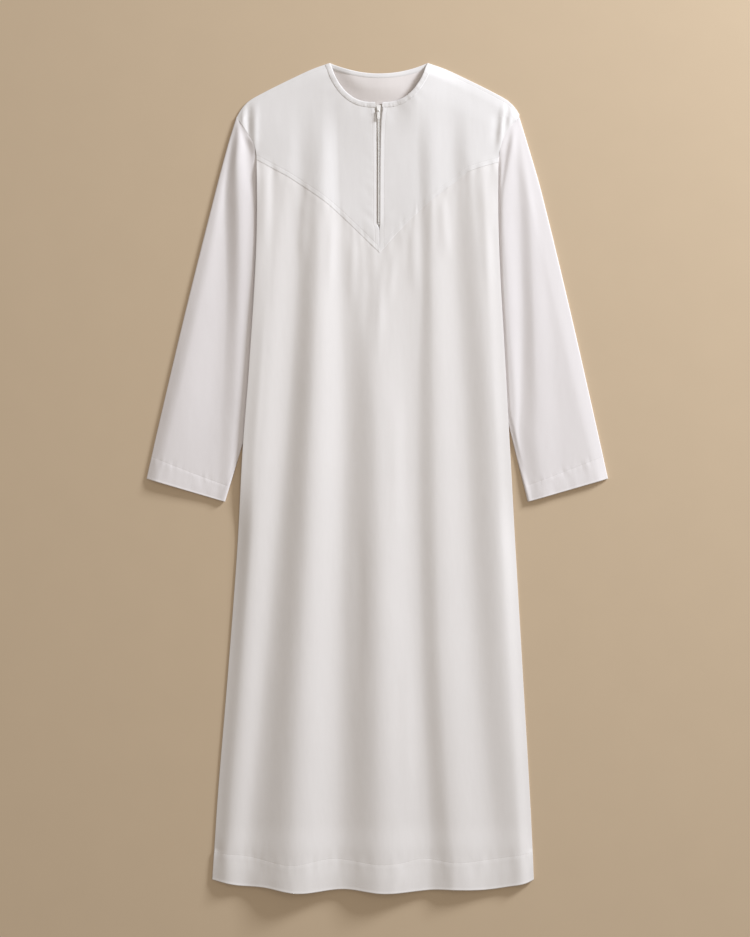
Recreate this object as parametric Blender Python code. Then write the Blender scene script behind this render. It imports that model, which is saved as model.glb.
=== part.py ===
"""Thobe robe laid flat on its back: cloth panels, neck binding and front zip, each a closed solid.

Metres. +X is the right-hand sleeve seen from above, +Y points to the neck, +Z up off the surface.
The origin lies on the surface, in the middle of the garment's box. Side -1 is the left, +1 the right.
"""
import math

import bmesh
import bpy
from mathutils import Vector

# Cloth
WALL = 0.0012
HEM_WALL = 0.0020
GAP = 0.0003
SEAM = 0.0005
HEM_DEPTH = 0.050
CUFF_DEPTH = 0.041
LEFT_COLUMN, RIGHT_COLUMN = 1, 2

# Body outline: the height along the garment, then the left and right edges
SIDE_EDGES = (
    (-0.740, -0.2945, 0.2785),
    (-0.658, -0.2894, 0.2756),
    (-0.552, -0.2823, 0.2703),
    (-0.339, -0.2646, 0.2579),
    (-0.127, -0.2487, 0.2455),
    (0.060, -0.2380, 0.2348),
    (0.210, -0.2265, 0.2265),
    (0.420, -0.2143, 0.2155),
    (0.567, -0.2143, 0.2150),
    (0.593, -0.2189, 0.2200),
    (0.620, -0.2350, 0.2325),
    (0.641, -0.2500, 0.2520),
)
# Hem: across the garment, then the hem's place along it
HEM_EDGE = (
    (-0.292, -0.711),
    (-0.243, -0.725),
    (-0.199, -0.729),
    (-0.137, -0.7372),
    (-0.057, -0.727),
    (0.015, -0.7377),
    (0.111, -0.729),
    (0.191, -0.735),
    (0.253, -0.729),
    (0.2775, -0.712),
)
# Shoulder: distance out from the neck point, then the drop below it
SHOULDER_DROP = (
    (0.000, 0.0000),
    (0.030, 0.0106),
    (0.061, 0.0248),
    (0.090, 0.0389),
    (0.118, 0.0531),
    (0.1425, 0.0673),
    (0.156, 0.0814),
    (0.1650, 0.0965),
)
NECK_POINT_Y = 0.7376
NECK_POINT_X = {-1: -0.0850, 1: 0.0900}
NECK_CENTRE_X = 0.0025
# Front neckline: distance out from its centre, then its place along the garment
FRONT_NECK = (
    (0.0060, 0.6662),
    (0.0195, 0.6668),
    (0.0327, 0.6695),
    (0.0460, 0.6755),
    (0.0600, 0.6870),
    (0.0708, 0.7013),
    (0.0790, 0.7165),
    (0.0832, 0.7288),
    (0.0870, 0.7376),
)
BACK_NECK_Y = 0.7173
BACK_NECK_POWER = 1.6
BINDING_WIDTH = 0.0088
BINDING_WALL = 0.0010

# Yoke seam: across the garment, then the seam's place along it
YOKE_SEAM = (
    (-0.2143, 0.565),
    (-0.1796, 0.546),
    (-0.1540, 0.532),
    (-0.0939, 0.491),
    (-0.0615, 0.463),
    (0.0042, 0.400),
    (0.0517, 0.453),
    (0.0981, 0.495),
    (0.1443, 0.530),
    (0.1629, 0.544),
    (0.2150, 0.561),
)
POINT_X = 0.0042
# Centre front: the place along the garment, then the left and right yoke's edges
CENTRE_EDGES = (
    (0.4000, 0.0038, 0.0046),
    (0.4200, 0.0036, 0.0043),
    (0.4430, 0.0033, 0.0040),
    (0.4520, -0.0010, 0.0058),
    (0.4900, -0.0010, 0.0058),
    (0.5300, -0.0010, 0.0058),
    (0.5700, -0.0010, 0.0058),
    (0.6050, -0.0010, 0.0059),
    (0.6320, -0.0016, 0.0066),
    (0.6540, -0.0045, 0.0092),
    (0.6662, -0.0036, 0.0094),
)

# Folds raised in the body's front: place across at the yoke and at the hem, height there, half width
YOKE_LEVEL = 0.582
HEM_LEVEL = -0.711
FOLD_FADE = 0.10
BODY_FOLDS = (
    # top x, hem x, top height, hem height, half width, upper end
    (-0.160, -0.272, 0.0020, 0.0095, 0.026, 0.56),
    (-0.100, -0.155, 0.0030, 0.0190, 0.034, 0.58),
    (-0.012, 0.006, 0.0050, 0.0150, 0.034, 0.30),
    (0.098, 0.146, 0.0012, 0.0090, 0.025, 0.56),
    (0.166, 0.262, 0.0045, 0.0095, 0.027, 0.60),
)
BODY_LOFT = 0.0012
YOKE_LOFT = 0.0030
YOKE_LOFT_Y = (0.30, 0.56)
NECK_LIFT = 0.0040
NECK_LIFT_RADIUS = 0.085
SIDE_ROLL = 0.020
SHOULDER_ROLL = 0.016
SHOULDER_COSINE = 0.9
ROLL_END = (0.558, 0.605)

# Sleeves
SLEEVE_OUTER = (
    (0.000, -0.4096, 0.4096),
    (0.086, -0.3903, 0.3907),
    (0.298, -0.3407, 0.3429),
    (0.511, -0.2876, 0.2915),
    (0.591, -0.2664, 0.2685),
    (0.641, -0.2510, 0.2532),
)
CUFF_INNER = {-1: (-0.2700, -0.0410), 1: (0.2670, -0.0410)}
UNDERARM = {-1: (-0.136, 0.400), 1: (0.157, 0.400)}
# Armhole as the sleeve's end: share of the sleeve's width, place along, left and right place across
ARMHOLE = (
    (0.00, 0.641, -0.2510, 0.2532),
    (0.08, 0.620, -0.2356, 0.2331),
    (0.18, 0.593, -0.2195, 0.2206),
    (0.28, 0.567, -0.2149, 0.2156),
    (0.50, 0.510, -0.1980, 0.2030),
    (0.76, 0.448, -0.1680, 0.1830),
    (1.00, 0.400, -0.1360, 0.1570),
)
SLEEVE_TUCK = 0.0034
SLEEVE_LOFT = 0.0060
OUTER_FOLD = 0.0064
TUCK_TOP = 0.578
TUCK_END = 0.605
TUCK_MARGIN = 0.040
TUCK_SLOPE = 0.030
TUCK_LOW = (-0.150, 0.055)
SLEEVE_THIN = (-0.030, 0.045)
BODY_CLEAR = 0.011
BODY_RISE = 0.014
# Sleeve folds: upper and lower x, upper and lower y, upper and lower height, half width
SLEEVE_FOLDS = {
    -1: (
        (-0.270, -0.345, 0.480, 0.020, 0.0050, 0.0060, 0.026),
        (-0.238, -0.262, 0.520, 0.020, 0.0050, 0.0030, 0.010),
    ),
    1: (
        (0.262, 0.345, 0.480, 0.020, 0.0055, 0.0050, 0.026),
        (0.238, 0.272, 0.520, 0.020, 0.0045, 0.0030, 0.011),
    ),
}

# Zip
ZIP_X = 0.0024
TAPE_WIDTH = 0.0135
TAPE_WALL = 0.0010
ZIP_FOOT = 0.4475
CHAIN_WIDTH = 0.0030
CHAIN_HEIGHT = 0.0017
CHAIN_WALL = 0.0013
CHAIN_CROWN = 0.0003
CHAIN_FOOT = 0.4540
TAPE_TOP = 0.6645
SLIDER_TOP = 0.6610
SLIDER_FOOT = 0.6490
SLIDER_WIDTH = 0.0076
SLIDER_MOUTH = 0.0050
SLIDER_CORE = 0.0024
SLIDER_CORE_FOOT = 0.6550
CORE_TAPER = 0.5
TAPE_SPREAD = 0.0018
SPREAD_Y = (0.643, 0.654)
RUN_GAP = 0.0006
PLATE = 0.0009
BAIL_INNER = 0.0009
BAIL_OUTER = 0.0018
BAIL_WIDTH = 0.0014
PIVOT_Y = 0.6515
PIVOT_RISE = 0.0010
PULL_LENGTH = 0.0155
PULL_WIDTH = 0.0054
PULL_HEAD = 0.0044
PULL_WALL = 0.0009
PULL_WINDOW = 0.0026
PULL_WINDOW_WIDTH = 0.0020
PULL_HOLE = 0.0010
PULL_HOLE_REACH = 0.0128


def blend(start, end, share):
    """Value the given share of the way from start to end."""
    return start + (end - start) * share


def ease(value, low, high):
    """Smooth step from 0 at low to 1 at high."""
    share = min(1.0, max(0.0, (value - low) / (high - low)))
    return share * share * (3.0 - 2.0 * share)


def look_up(rows, key, column=1):
    """Read a column of a short table at a key between its rows, along a smooth curve."""
    if key <= rows[0][0]:
        return rows[0][column]
    if key >= rows[-1][0]:
        return rows[-1][column]
    at = max(i for i in range(len(rows) - 1) if rows[i][0] <= key)
    slopes = []
    for i in (at, at + 1):
        before, after = max(i - 1, 0), min(i + 1, len(rows) - 1)
        run = rows[after][0] - rows[before][0]
        slopes.append((rows[after][column] - rows[before][column]) / run)
    span = rows[at + 1][0] - rows[at][0]
    t = (key - rows[at][0]) / span
    start, end = rows[at][column], rows[at + 1][column]
    cubic = 2.0 * t ** 3 - 3.0 * t ** 2
    return (
        start * (1.0 + cubic) - end * cubic
        + span * (slopes[0] * (t ** 3 - 2.0 * t ** 2 + t) + slopes[1] * (t ** 3 - t ** 2))
    )


def straight(rows, key, column=1):
    """Read a column of a short table at a key between its rows, along straight lines."""
    for low, high in zip(rows, rows[1:]):
        if key <= high[0]:
            share = max(0.0, (key - low[0]) / (high[0] - low[0]))
            return blend(low[column], high[column], share)
    return rows[-1][column]


def side_edge(side, y):
    """Body's outline on one side."""
    return look_up(SIDE_EDGES, y, LEFT_COLUMN if side < 0 else RIGHT_COLUMN)


def shoulder_edge(x):
    """Shoulder line over a place across the garment, level past the neck point."""
    side = -1 if x < NECK_CENTRE_X else 1
    out = side * (x - NECK_POINT_X[side])
    return NECK_POINT_Y - look_up(SHOULDER_DROP, out)


def back_neck_edge(x):
    """Back neckline over a place across the garment."""
    side = -1 if x < NECK_CENTRE_X else 1
    share = (x - NECK_CENTRE_X) / (NECK_POINT_X[side] - NECK_CENTRE_X)
    return BACK_NECK_Y + (NECK_POINT_Y - BACK_NECK_Y) * share ** BACK_NECK_POWER


def sleeve_inner_x(side, y):
    """Sleeve's inner boundary under the body: its lower edge, and above that the armhole."""
    cuff, underarm = CUFF_INNER[side], UNDERARM[side]
    if y <= underarm[1]:
        return blend(cuff[0], underarm[0], (y - cuff[1]) / (underarm[1] - cuff[1]))
    rows = [(row[1], row[2], row[3]) for row in reversed(ARMHOLE)]
    return look_up(rows, y, LEFT_COLUMN if side < 0 else RIGHT_COLUMN)


def back_base(x, y):
    """Underside of the back panel: on the surface, and raised where a sleeve lies beneath it."""
    side = -1 if x < 0.0 else 1
    inside = side * (x - sleeve_inner_x(side, y)) + TUCK_MARGIN + TUCK_SLOPE
    raised = ease(inside, 0.0, TUCK_SLOPE)
    raised *= ease(y, *TUCK_LOW) * (1.0 - ease(y, TUCK_TOP, TUCK_END))
    return (SLEEVE_TUCK + GAP) * raised


def body_folds(x, y):
    """Height of the body's folds above the resting front."""
    height = 0.0
    along = (YOKE_LEVEL - y) / (YOKE_LEVEL - HEM_LEVEL)
    for top_x, hem_x, top_height, hem_height, width, upper in BODY_FOLDS:
        crest = blend(top_x, hem_x, along)
        size = blend(top_height, hem_height, max(0.0, along))
        size *= 1.0 - ease(y, upper - FOLD_FADE, upper + FOLD_FADE)
        height += size * math.exp(-((x - crest) / width) ** 2)
    return height


def hem_wall(y):
    """Wall to allow for: thicker in and just above the turned-up hem."""
    return blend(HEM_WALL, WALL, ease(y, HEM_LEVEL + HEM_DEPTH, HEM_LEVEL + 2.0 * HEM_DEPTH))


def front_height(x, y):
    """Outer surface of the front over the whole body."""
    wall = hem_wall(y)
    rest = back_base(x, y) + 2.0 * wall + GAP
    loft = blend(BODY_LOFT, YOKE_LOFT, ease(y, *YOKE_LOFT_Y))
    reach = math.hypot(x - NECK_CENTRE_X, y - FRONT_NECK[0][1]) / NECK_LIFT_RADIUS
    full = rest + loft + body_folds(x, y) + NECK_LIFT * math.exp(-reach ** 2)
    rim = back_base(x, y) + wall + GAP + wall
    side = -1 if x < 0.0 else 1
    from_side = side * (side_edge(side, y) - x)
    rolled = roll(from_side, SIDE_ROLL)
    rolled = blend(rolled, 1.0, ease(y, *ROLL_END))
    rolled *= roll((shoulder_edge(x) - y) * SHOULDER_COSINE, SHOULDER_ROLL)
    return rim + (full - rim) * rolled


def roll(distance, radius):
    """Quarter-round rise from an edge, 0 on it and 1 a radius inside."""
    share = min(1.0, max(0.0, distance / radius))
    return math.sqrt(1.0 - (1.0 - share) ** 2)


def sleeve_height(side, x, y):
    """Outer height of a sleeve's top sheet."""
    height = SLEEVE_LOFT
    for top_x, low_x, top_y, low_y, top_size, low_size, width in SLEEVE_FOLDS[side]:
        share = (top_y - y) / (top_y - low_y)
        crest = blend(top_x, low_x, share)
        size = blend(top_size, low_size, min(1.0, max(0.0, share)))
        size *= 1.0 - ease(y, top_y, top_y + FOLD_FADE)
        height += size * math.exp(-((x - crest) / width) ** 2)
    clear = side * (x - side_edge(side, y)) - BODY_CLEAR
    open_share = ease(clear, 0.0, BODY_RISE)
    open_share = blend(open_share, 1.0, ease(y, TUCK_TOP, TUCK_END))
    open_share = blend(1.0, open_share, ease(y, *SLEEVE_THIN))
    return blend(SLEEVE_TUCK, height, open_share)


def material(name, colour, roughness, metallic=0.0):
    """Principled material, colour in linear values."""
    made = bpy.data.materials.new(name)
    made.use_nodes = True
    shader = made.node_tree.nodes["Principled BSDF"]
    shader.inputs["Base Color"].default_value = (*colour, 1.0)
    shader.inputs["Roughness"].default_value = roughness
    shader.inputs["Metallic"].default_value = metallic
    return made


def add_object(name, shape, finish, smooth=True):
    """Put a finished bmesh into the scene as one named object."""
    mesh = bpy.data.meshes.new(name)
    shape.to_mesh(mesh)
    shape.free()
    mesh.materials.append(finish)
    if smooth:
        mesh.shade_smooth()
    part = bpy.data.objects.new(name, mesh)
    bpy.context.collection.objects.link(part)
    return part


def cloth(name, columns, rows, place, finish, wall=WALL, band=None, closed=False):
    """Sheet of cloth from its outer surface: place(column, row) gives a point, the wall goes inwards.

    band(row) is true for rows in a turned-up hem, where the wall is HEM_WALL thick.
    """
    shape = bmesh.new()
    bmesh.ops.create_grid(shape, x_segments=columns, y_segments=rows, size=0.5)
    banded = []
    for vertex in shape.verts:
        column = round((vertex.co.x + 0.5) * columns)
        row = round((vertex.co.y + 0.5) * rows)
        vertex.co = place(column, row)
        banded.append(bool(band and band(row)))
    if band:
        layer = shape.verts.layers.deform.verify()
        for vertex, thick in zip(shape.verts, banded):
            vertex[layer][0] = 1.0 if thick else WALL / HEM_WALL
    if closed:
        bmesh.ops.remove_doubles(shape, verts=shape.verts, dist=0.00001)
        bmesh.ops.recalc_face_normals(shape, faces=shape.faces)
    else:
        shape.normal_update()
        if sum(face.normal.z for face in shape.faces) < 0.0:
            bmesh.ops.reverse_faces(shape, faces=shape.faces)
    part = add_object(name, shape, finish)
    solidify = part.modifiers.new("wall", "SOLIDIFY")
    solidify.thickness = HEM_WALL if band else wall
    solidify.offset = -1.0
    solidify.use_even_offset = True
    if band:
        part.vertex_groups.new(name="wall")
        solidify.vertex_group = "wall"
    return part



def side_column(side):
    """Column of a left-and-right table that belongs to a side."""
    return LEFT_COLUMN if side < 0 else RIGHT_COLUMN


HEM_STEP = 1.08
SHOULDER_COLUMNS = 7
NECK_COLUMNS = 10
BODY_LENGTH = 1.40
BACK_STEPS = 23
BACK_TOP_STEPS = 8
BACK_TOP_SHARE = 0.925
SKIRT_STEPS = 22
EDGE_SHARES = (0.0, 0.007, 0.023, 0.050, 0.088)
FRONT_COLUMNS = 9


def row_shares(steps, band_share):
    """Shares along a panel from its hem: the hem's edge, both sides of its stitching, then even steps."""
    shares = [0.0, band_share, band_share * HEM_STEP]
    for step in range(1, steps + 1):
        shares.append(blend(shares[2], 1.0, step / steps))
    return shares


def back_panel(finish):
    """Back, cut in one from hem to shoulders and back neckline."""
    tips = [side_edge(side, SIDE_EDGES[-1][0]) for side in (-1, 1)]
    stops = [tips[0], NECK_POINT_X[-1], NECK_POINT_X[1], tips[1]]
    counts = [SHOULDER_COLUMNS, NECK_COLUMNS, SHOULDER_COLUMNS]
    top_xs = [tips[0]]
    for start, end, count in zip(stops, stops[1:], counts):
        top_xs += [blend(start, end, step / count) for step in range(1, count + 1)]
    rows = [share * BACK_TOP_SHARE for share in row_shares(BACK_STEPS, HEM_DEPTH / BODY_LENGTH)]
    rows += [blend(BACK_TOP_SHARE, 1.0, (step + 1) / BACK_TOP_STEPS) for step in range(BACK_TOP_STEPS)]
    hem_left, hem_right = side_edge(-1, HEM_LEVEL), side_edge(1, HEM_LEVEL)

    def place(column, row):
        top_x = top_xs[column]
        share = (top_x - tips[0]) / (tips[1] - tips[0])
        in_neck = SHOULDER_COLUMNS < column < SHOULDER_COLUMNS + NECK_COLUMNS
        top_y = back_neck_edge(top_x) if in_neck else shoulder_edge(top_x)
        hem_y = look_up(HEM_EDGE, blend(hem_left, hem_right, share))
        y = blend(hem_y, top_y, rows[row])
        x = blend(side_edge(-1, y), side_edge(1, y), share)
        wall = HEM_WALL if row < 2 else WALL
        return Vector((x, y, back_base(x, y) + wall))

    return cloth("back_panel", len(top_xs) - 1, len(rows) - 1, place, finish, band=lambda row: row < 2)


def front_columns(side):
    """Tops of the front's columns on one side, from the armhole's tip to the centre front."""
    tip = side_edge(side, SIDE_EDGES[-1][0])
    neck = NECK_CENTRE_X + side * FRONT_NECK[-1][0]
    shares = list(EDGE_SHARES)
    for step in range(1, FRONT_COLUMNS):
        shares.append(blend(EDGE_SHARES[-1], 1.0, step / FRONT_COLUMNS))
    tops = []
    for share in shares:
        x = blend(tip, neck, share)
        tops.append((x, shoulder_edge(x)))
    for out, y in reversed(FRONT_NECK):
        tops.append((NECK_CENTRE_X + side * out, y))
    tops[-1] = (CENTRE_EDGES[-1][side_column(side)], CENTRE_EDGES[-1][0])
    return tops


def column_shares(tops):
    """How far each column lies from the side towards the centre front."""
    first, last = tops[0][0], tops[-1][0]
    return [(x - first) / (last - first) for x, y in tops]


def front_skirt(finish):
    """Lower front, from the hem to the V-shaped yoke seam."""
    columns = [(-1, share) for share in column_shares(front_columns(-1))]
    columns += [(1, share) for share in reversed(column_shares(front_columns(1))[:-1])]
    rows = row_shares(SKIRT_STEPS, HEM_DEPTH / (YOKE_LEVEL - HEM_LEVEL))

    def place(column, row):
        side, share = columns[column]
        hem_x = blend(side_edge(side, HEM_LEVEL), POINT_X, share)
        seam_x = blend(side_edge(side, YOKE_SEAM[0][1]), POINT_X, share)
        y = blend(look_up(HEM_EDGE, hem_x), straight(YOKE_SEAM, seam_x) - SEAM, rows[row])
        x = blend(side_edge(side, y), POINT_X, share)
        return Vector((x, y, front_height(x, y)))

    return cloth("front_skirt", len(columns) - 1, len(rows) - 1, place, finish, band=lambda row: row < 2)


def yoke(name, side, finish):
    """Upper front on one side: armhole, shoulder, neckline, centre edge and V seam."""
    tops = front_columns(side)
    shares = column_shares(tops)
    tip = tops[0][0]
    foot_y, head_y = CENTRE_EDGES[0][0], CENTRE_EDGES[-1][0]
    rows = [(row[0] - foot_y) / (head_y - foot_y) for row in CENTRE_EDGES]
    armhole_foot = side_edge(side, YOKE_SEAM[0][1])
    centre_foot = CENTRE_EDGES[0][side_column(side)]

    def place(column, row):
        top_x, top_y = tops[column]
        share = shares[column]
        low_x = blend(armhole_foot, centre_foot, share)
        y = blend(straight(YOKE_SEAM, low_x), top_y, rows[row])
        x = blend(low_x, top_x, rows[row])
        x += (side_edge(side, y) - blend(armhole_foot, tip, rows[row])) * (1.0 - share) ** 4
        if column == len(tops) - 1:
            x = CENTRE_EDGES[row][side_column(side)]
        return Vector((x, y, front_height(x, y)))

    return cloth(name, len(tops) - 1, len(rows) - 1, place, finish)


SLEEVE_STEPS = 15
SLEEVE_LENGTH = 0.68
BOTTOM_POINTS = 4
TOP_POINTS = 16
ARC_POINTS = 5
OUTER_REACH = 0.022
INNER_REACH = 0.016
CUFF_INNER_FOLD = 0.0064


def sleeve_plan(side, share, row_share):
    """Place seen from above: share across from the outer edge, row_share along from the cuff."""
    column = side_column(side)
    foot_y, tip_y = SLEEVE_OUTER[0][0], SLEEVE_OUTER[-1][0]

    def outer(along):
        y = blend(foot_y, tip_y, along)
        return Vector((look_up(SLEEVE_OUTER, y, column), y))

    inner_foot = Vector(CUFF_INNER[side])
    inner = inner_foot.lerp(Vector(UNDERARM[side]), row_share)
    cuff = outer(0.0).lerp(inner_foot, share)
    end = Vector((look_up(ARMHOLE, share, column + 1), look_up(ARMHOLE, share)))
    tip, underarm = outer(1.0), Vector(UNDERARM[side])
    across = outer(row_share).lerp(inner, share)
    along = cuff.lerp(end, row_share)
    corners = outer(0.0).lerp(inner_foot, share).lerp(tip.lerp(underarm, share), row_share)
    return across + along - corners


def sleeve_ring(side, row_share):
    """Closed ring of points round the flattened sleeve, from the outer fold under to the inner one."""
    outer_edge, inner_edge = sleeve_plan(side, 0.0, row_share), sleeve_plan(side, 1.0, row_share)
    width = (outer_edge - inner_edge).length
    inner_fold = blend(CUFF_INNER_FOLD, SLEEVE_TUCK, ease(inner_edge.y, *SLEEVE_THIN))
    outer_arc, inner_arc = OUTER_FOLD * 0.5, inner_fold * 0.5
    low, high = outer_arc / width, 1.0 - inner_arc / width
    ring = []
    for step in range(BOTTOM_POINTS + 1):
        ring.append((blend(high, low, step / BOTTOM_POINTS), 0.0))
    for step in range(1, ARC_POINTS):
        turn = math.pi * step / ARC_POINTS
        ring.append((low * (1.0 - math.sin(turn)), outer_arc * (1.0 - math.cos(turn))))
    for step in range(TOP_POINTS + 1):
        share = blend(low, high, step / TOP_POINTS)
        place = sleeve_plan(side, share, row_share)
        height = sleeve_height(side, place.x, place.y)
        height = blend(OUTER_FOLD, height, ease(share * width, outer_arc, OUTER_REACH))
        height = blend(inner_fold, height, ease((1.0 - share) * width, inner_arc, INNER_REACH))
        ring.append((share, height))
    for step in range(1, ARC_POINTS):
        turn = math.pi * step / ARC_POINTS
        out = inner_arc / width * (1.0 - math.sin(turn))
        ring.append((1.0 - out, inner_arc * (1.0 + math.cos(turn))))
    points = []
    for share, height in ring:
        place = sleeve_plan(side, share, row_share)
        points.append(Vector((place.x, place.y, height)))
    return points


def sleeve(name, side, finish):
    """Sleeve cut in one piece, sewn to a tube and lying flat, with its cuff turned up."""
    rows = row_shares(SLEEVE_STEPS, CUFF_DEPTH / SLEEVE_LENGTH)
    rings = [sleeve_ring(side, share) for share in rows]
    count = len(rings[0])

    def place(column, row):
        return rings[row][column % count]

    return cloth(name, count, len(rows) - 1, place, finish, band=lambda row: row < 2, closed=True)


BINDING_STEPS = 14
FRONT_BINDING_END = 0.93
BACK_BINDING_END = 0.009


def front_neck_point(side, share):
    """Point and outward direction on the front neckline, from the centre front to near the shoulder."""
    rows = [(index / (len(FRONT_NECK) - 1), row[0], row[1]) for index, row in enumerate(FRONT_NECK)]
    step = 0.01
    here = Vector((look_up(rows, share, 1), look_up(rows, share, 2)))
    ahead = Vector((look_up(rows, share + step, 1), look_up(rows, share + step, 2)))
    behind = Vector((look_up(rows, share - step, 1), look_up(rows, share - step, 2)))
    run = (ahead - behind).normalized()
    out = Vector((run.y, -run.x))
    return Vector((NECK_CENTRE_X + side * here.x, here.y)), Vector((side * out.x, out.y))


def front_binding(name, side, finish):
    """Neck binding along one side of the front neckline, on the yoke's outer face."""
    centre = CENTRE_EDGES[-1][side_column(side)]

    def place(column, row):
        point, out = front_neck_point(side, FRONT_BINDING_END * column / BINDING_STEPS)
        if column == 0:
            point.x, out = centre, Vector((0.0, -1.0))
        spot = point + out * BINDING_WIDTH * row / 2.0
        lift = GAP + BINDING_WALL
        return Vector((spot.x, spot.y, front_height(spot.x, spot.y) + lift))

    return cloth(name, BINDING_STEPS, 2, place, finish, wall=BINDING_WALL)


def back_binding(name, finish):
    """Neck binding along the back neckline, on the back panel's inner face."""
    left, right = NECK_POINT_X[-1] + BACK_BINDING_END, NECK_POINT_X[1] - BACK_BINDING_END

    def place(column, row):
        x = blend(left, right, column / BINDING_STEPS)
        y = back_neck_edge(x) - GAP - BINDING_WIDTH * (1.0 - row / 2.0)
        return Vector((x, y, back_base(x, y) + WALL + GAP + BINDING_WALL))

    return cloth(name, BINDING_STEPS, 2, place, finish, wall=BINDING_WALL)


TAPE_ROWS = 12


def tape_top(x, y):
    """Upper face of the zip tape, under the yokes."""
    return front_height(x, y) - WALL - GAP - GAP


def zip_tape(name, side, finish):
    """Woven tape on one side of the zip, spread apart above the slider's core."""

    def place(column, row):
        y = blend(ZIP_FOOT, TAPE_TOP, row / TAPE_ROWS)
        inner = GAP * 0.5 + TAPE_SPREAD * ease(y, *SPREAD_Y)
        share = column / 2 if side > 0 else 1.0 - column / 2
        x = ZIP_X + side * blend(inner, TAPE_WIDTH, share)
        return Vector((x, y, tape_top(x, y)))

    return cloth(name, 2, TAPE_ROWS, place, finish, wall=TAPE_WALL)


def zip_chain(finish):
    """Closed chain of the zip as a plain low bar on the tapes' inner edges."""
    top = SLIDER_FOOT - GAP

    def place(column, row):
        y = blend(CHAIN_FOOT, top, row / TAPE_ROWS)
        x = ZIP_X + CHAIN_WIDTH * (column / 2 - 0.5)
        crown = CHAIN_CROWN if column == 1 else 0.0
        return Vector((x, y, tape_top(ZIP_X, y) + GAP + CHAIN_WALL + crown))

    return cloth("zip_chain", 2, TAPE_ROWS, place, finish, wall=CHAIN_WALL)


def block(low, high, taper=1.0):
    """Box between two corners, its low-Y end narrowed to the taper."""
    shape = bmesh.new()
    bmesh.ops.create_cube(shape, size=1.0)
    for vertex in shape.verts:
        share = [vertex.co[axis] + 0.5 for axis in range(3)]
        spot = Vector(blend(low[axis], high[axis], share[axis]) for axis in range(3))
        if share[1] < 0.5:
            middle = (low[0] + high[0]) * 0.5
            spot.x = middle + (spot.x - middle) * taper
        vertex.co = spot
    return shape


def arch(finish):
    """Rounded bail over the pull's axis, standing in the slider's top plate."""
    half, foot = BAIL_WIDTH * 0.5, -PIVOT_RISE - PLATE * 0.5
    shape = block((-half, -BAIL_OUTER, foot), (half, BAIL_OUTER, BAIL_OUTER))
    crown = [edge for edge in shape.edges if all(vertex.co.z > 0.0 for vertex in edge.verts)]
    crown = [edge for edge in crown if abs(edge.verts[0].co.x - edge.verts[1].co.x) > half]
    bmesh.ops.bevel(shape, geom=crown, offset=BAIL_OUTER * 0.6, affect="EDGES", segments=4,
                    profile=0.5, material=-1)
    part = add_object("slider_bail_tool", shape, finish, smooth=False)
    reach = BAIL_INNER
    window = block((-BAIL_WIDTH, -reach, -PIVOT_RISE - PLATE), (BAIL_WIDTH, reach, reach))
    window_tool = add_object("bail_window_tool", window, finish, smooth=False)
    for item in (part, window_tool):
        item.location = (ZIP_X, PIVOT_Y, pivot_height())
    join_with(part, window_tool, "DIFFERENCE")
    return part


def join_with(part, tool, operation="UNION"):
    """Join a hidden tool object to a part, or cut it out."""
    tool.hide_render = True
    tool.display_type = "WIRE"
    boolean = part.modifiers.new(tool.name, "BOOLEAN")
    boolean.operation = operation
    boolean.solver = "EXACT"
    boolean.object = tool


def pivot_height():
    """Height of the pull's axis."""
    return slider_top() + PIVOT_RISE


def slider_top():
    """Upper face of the slider's top plate."""
    return tape_top(ZIP_X, SLIDER_CORE_FOOT) + GAP + CHAIN_HEIGHT + GAP + PLATE


def zip_slider(finish):
    """Slider at the top of the closed zip: two plates, the core between them, and the bail."""
    half = SLIDER_WIDTH * 0.5
    top = slider_top()
    tape = tape_top(ZIP_X, SLIDER_CORE_FOOT)
    floor = tape - TAPE_WALL - RUN_GAP
    taper = SLIDER_MOUTH / SLIDER_WIDTH
    plate = block((ZIP_X - half, SLIDER_FOOT, top - PLATE), (ZIP_X + half, SLIDER_TOP, top), taper)
    part = add_object("zip_slider", plate, finish, smooth=False)
    core = block(
        (ZIP_X - SLIDER_CORE * 0.5, SLIDER_CORE_FOOT, floor - PLATE * 0.5),
        (ZIP_X + SLIDER_CORE * 0.5, SLIDER_TOP - GAP, top - PLATE * 0.5), CORE_TAPER,
    )
    join_with(part, add_object("slider_core_tool", core, finish, smooth=False))
    under = block((ZIP_X - half, SLIDER_FOOT, floor - PLATE), (ZIP_X + half, SLIDER_TOP, floor), taper)
    join_with(part, add_object("slider_under_tool", under, finish, smooth=False))
    join_with(part, arch(finish))
    return part


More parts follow.
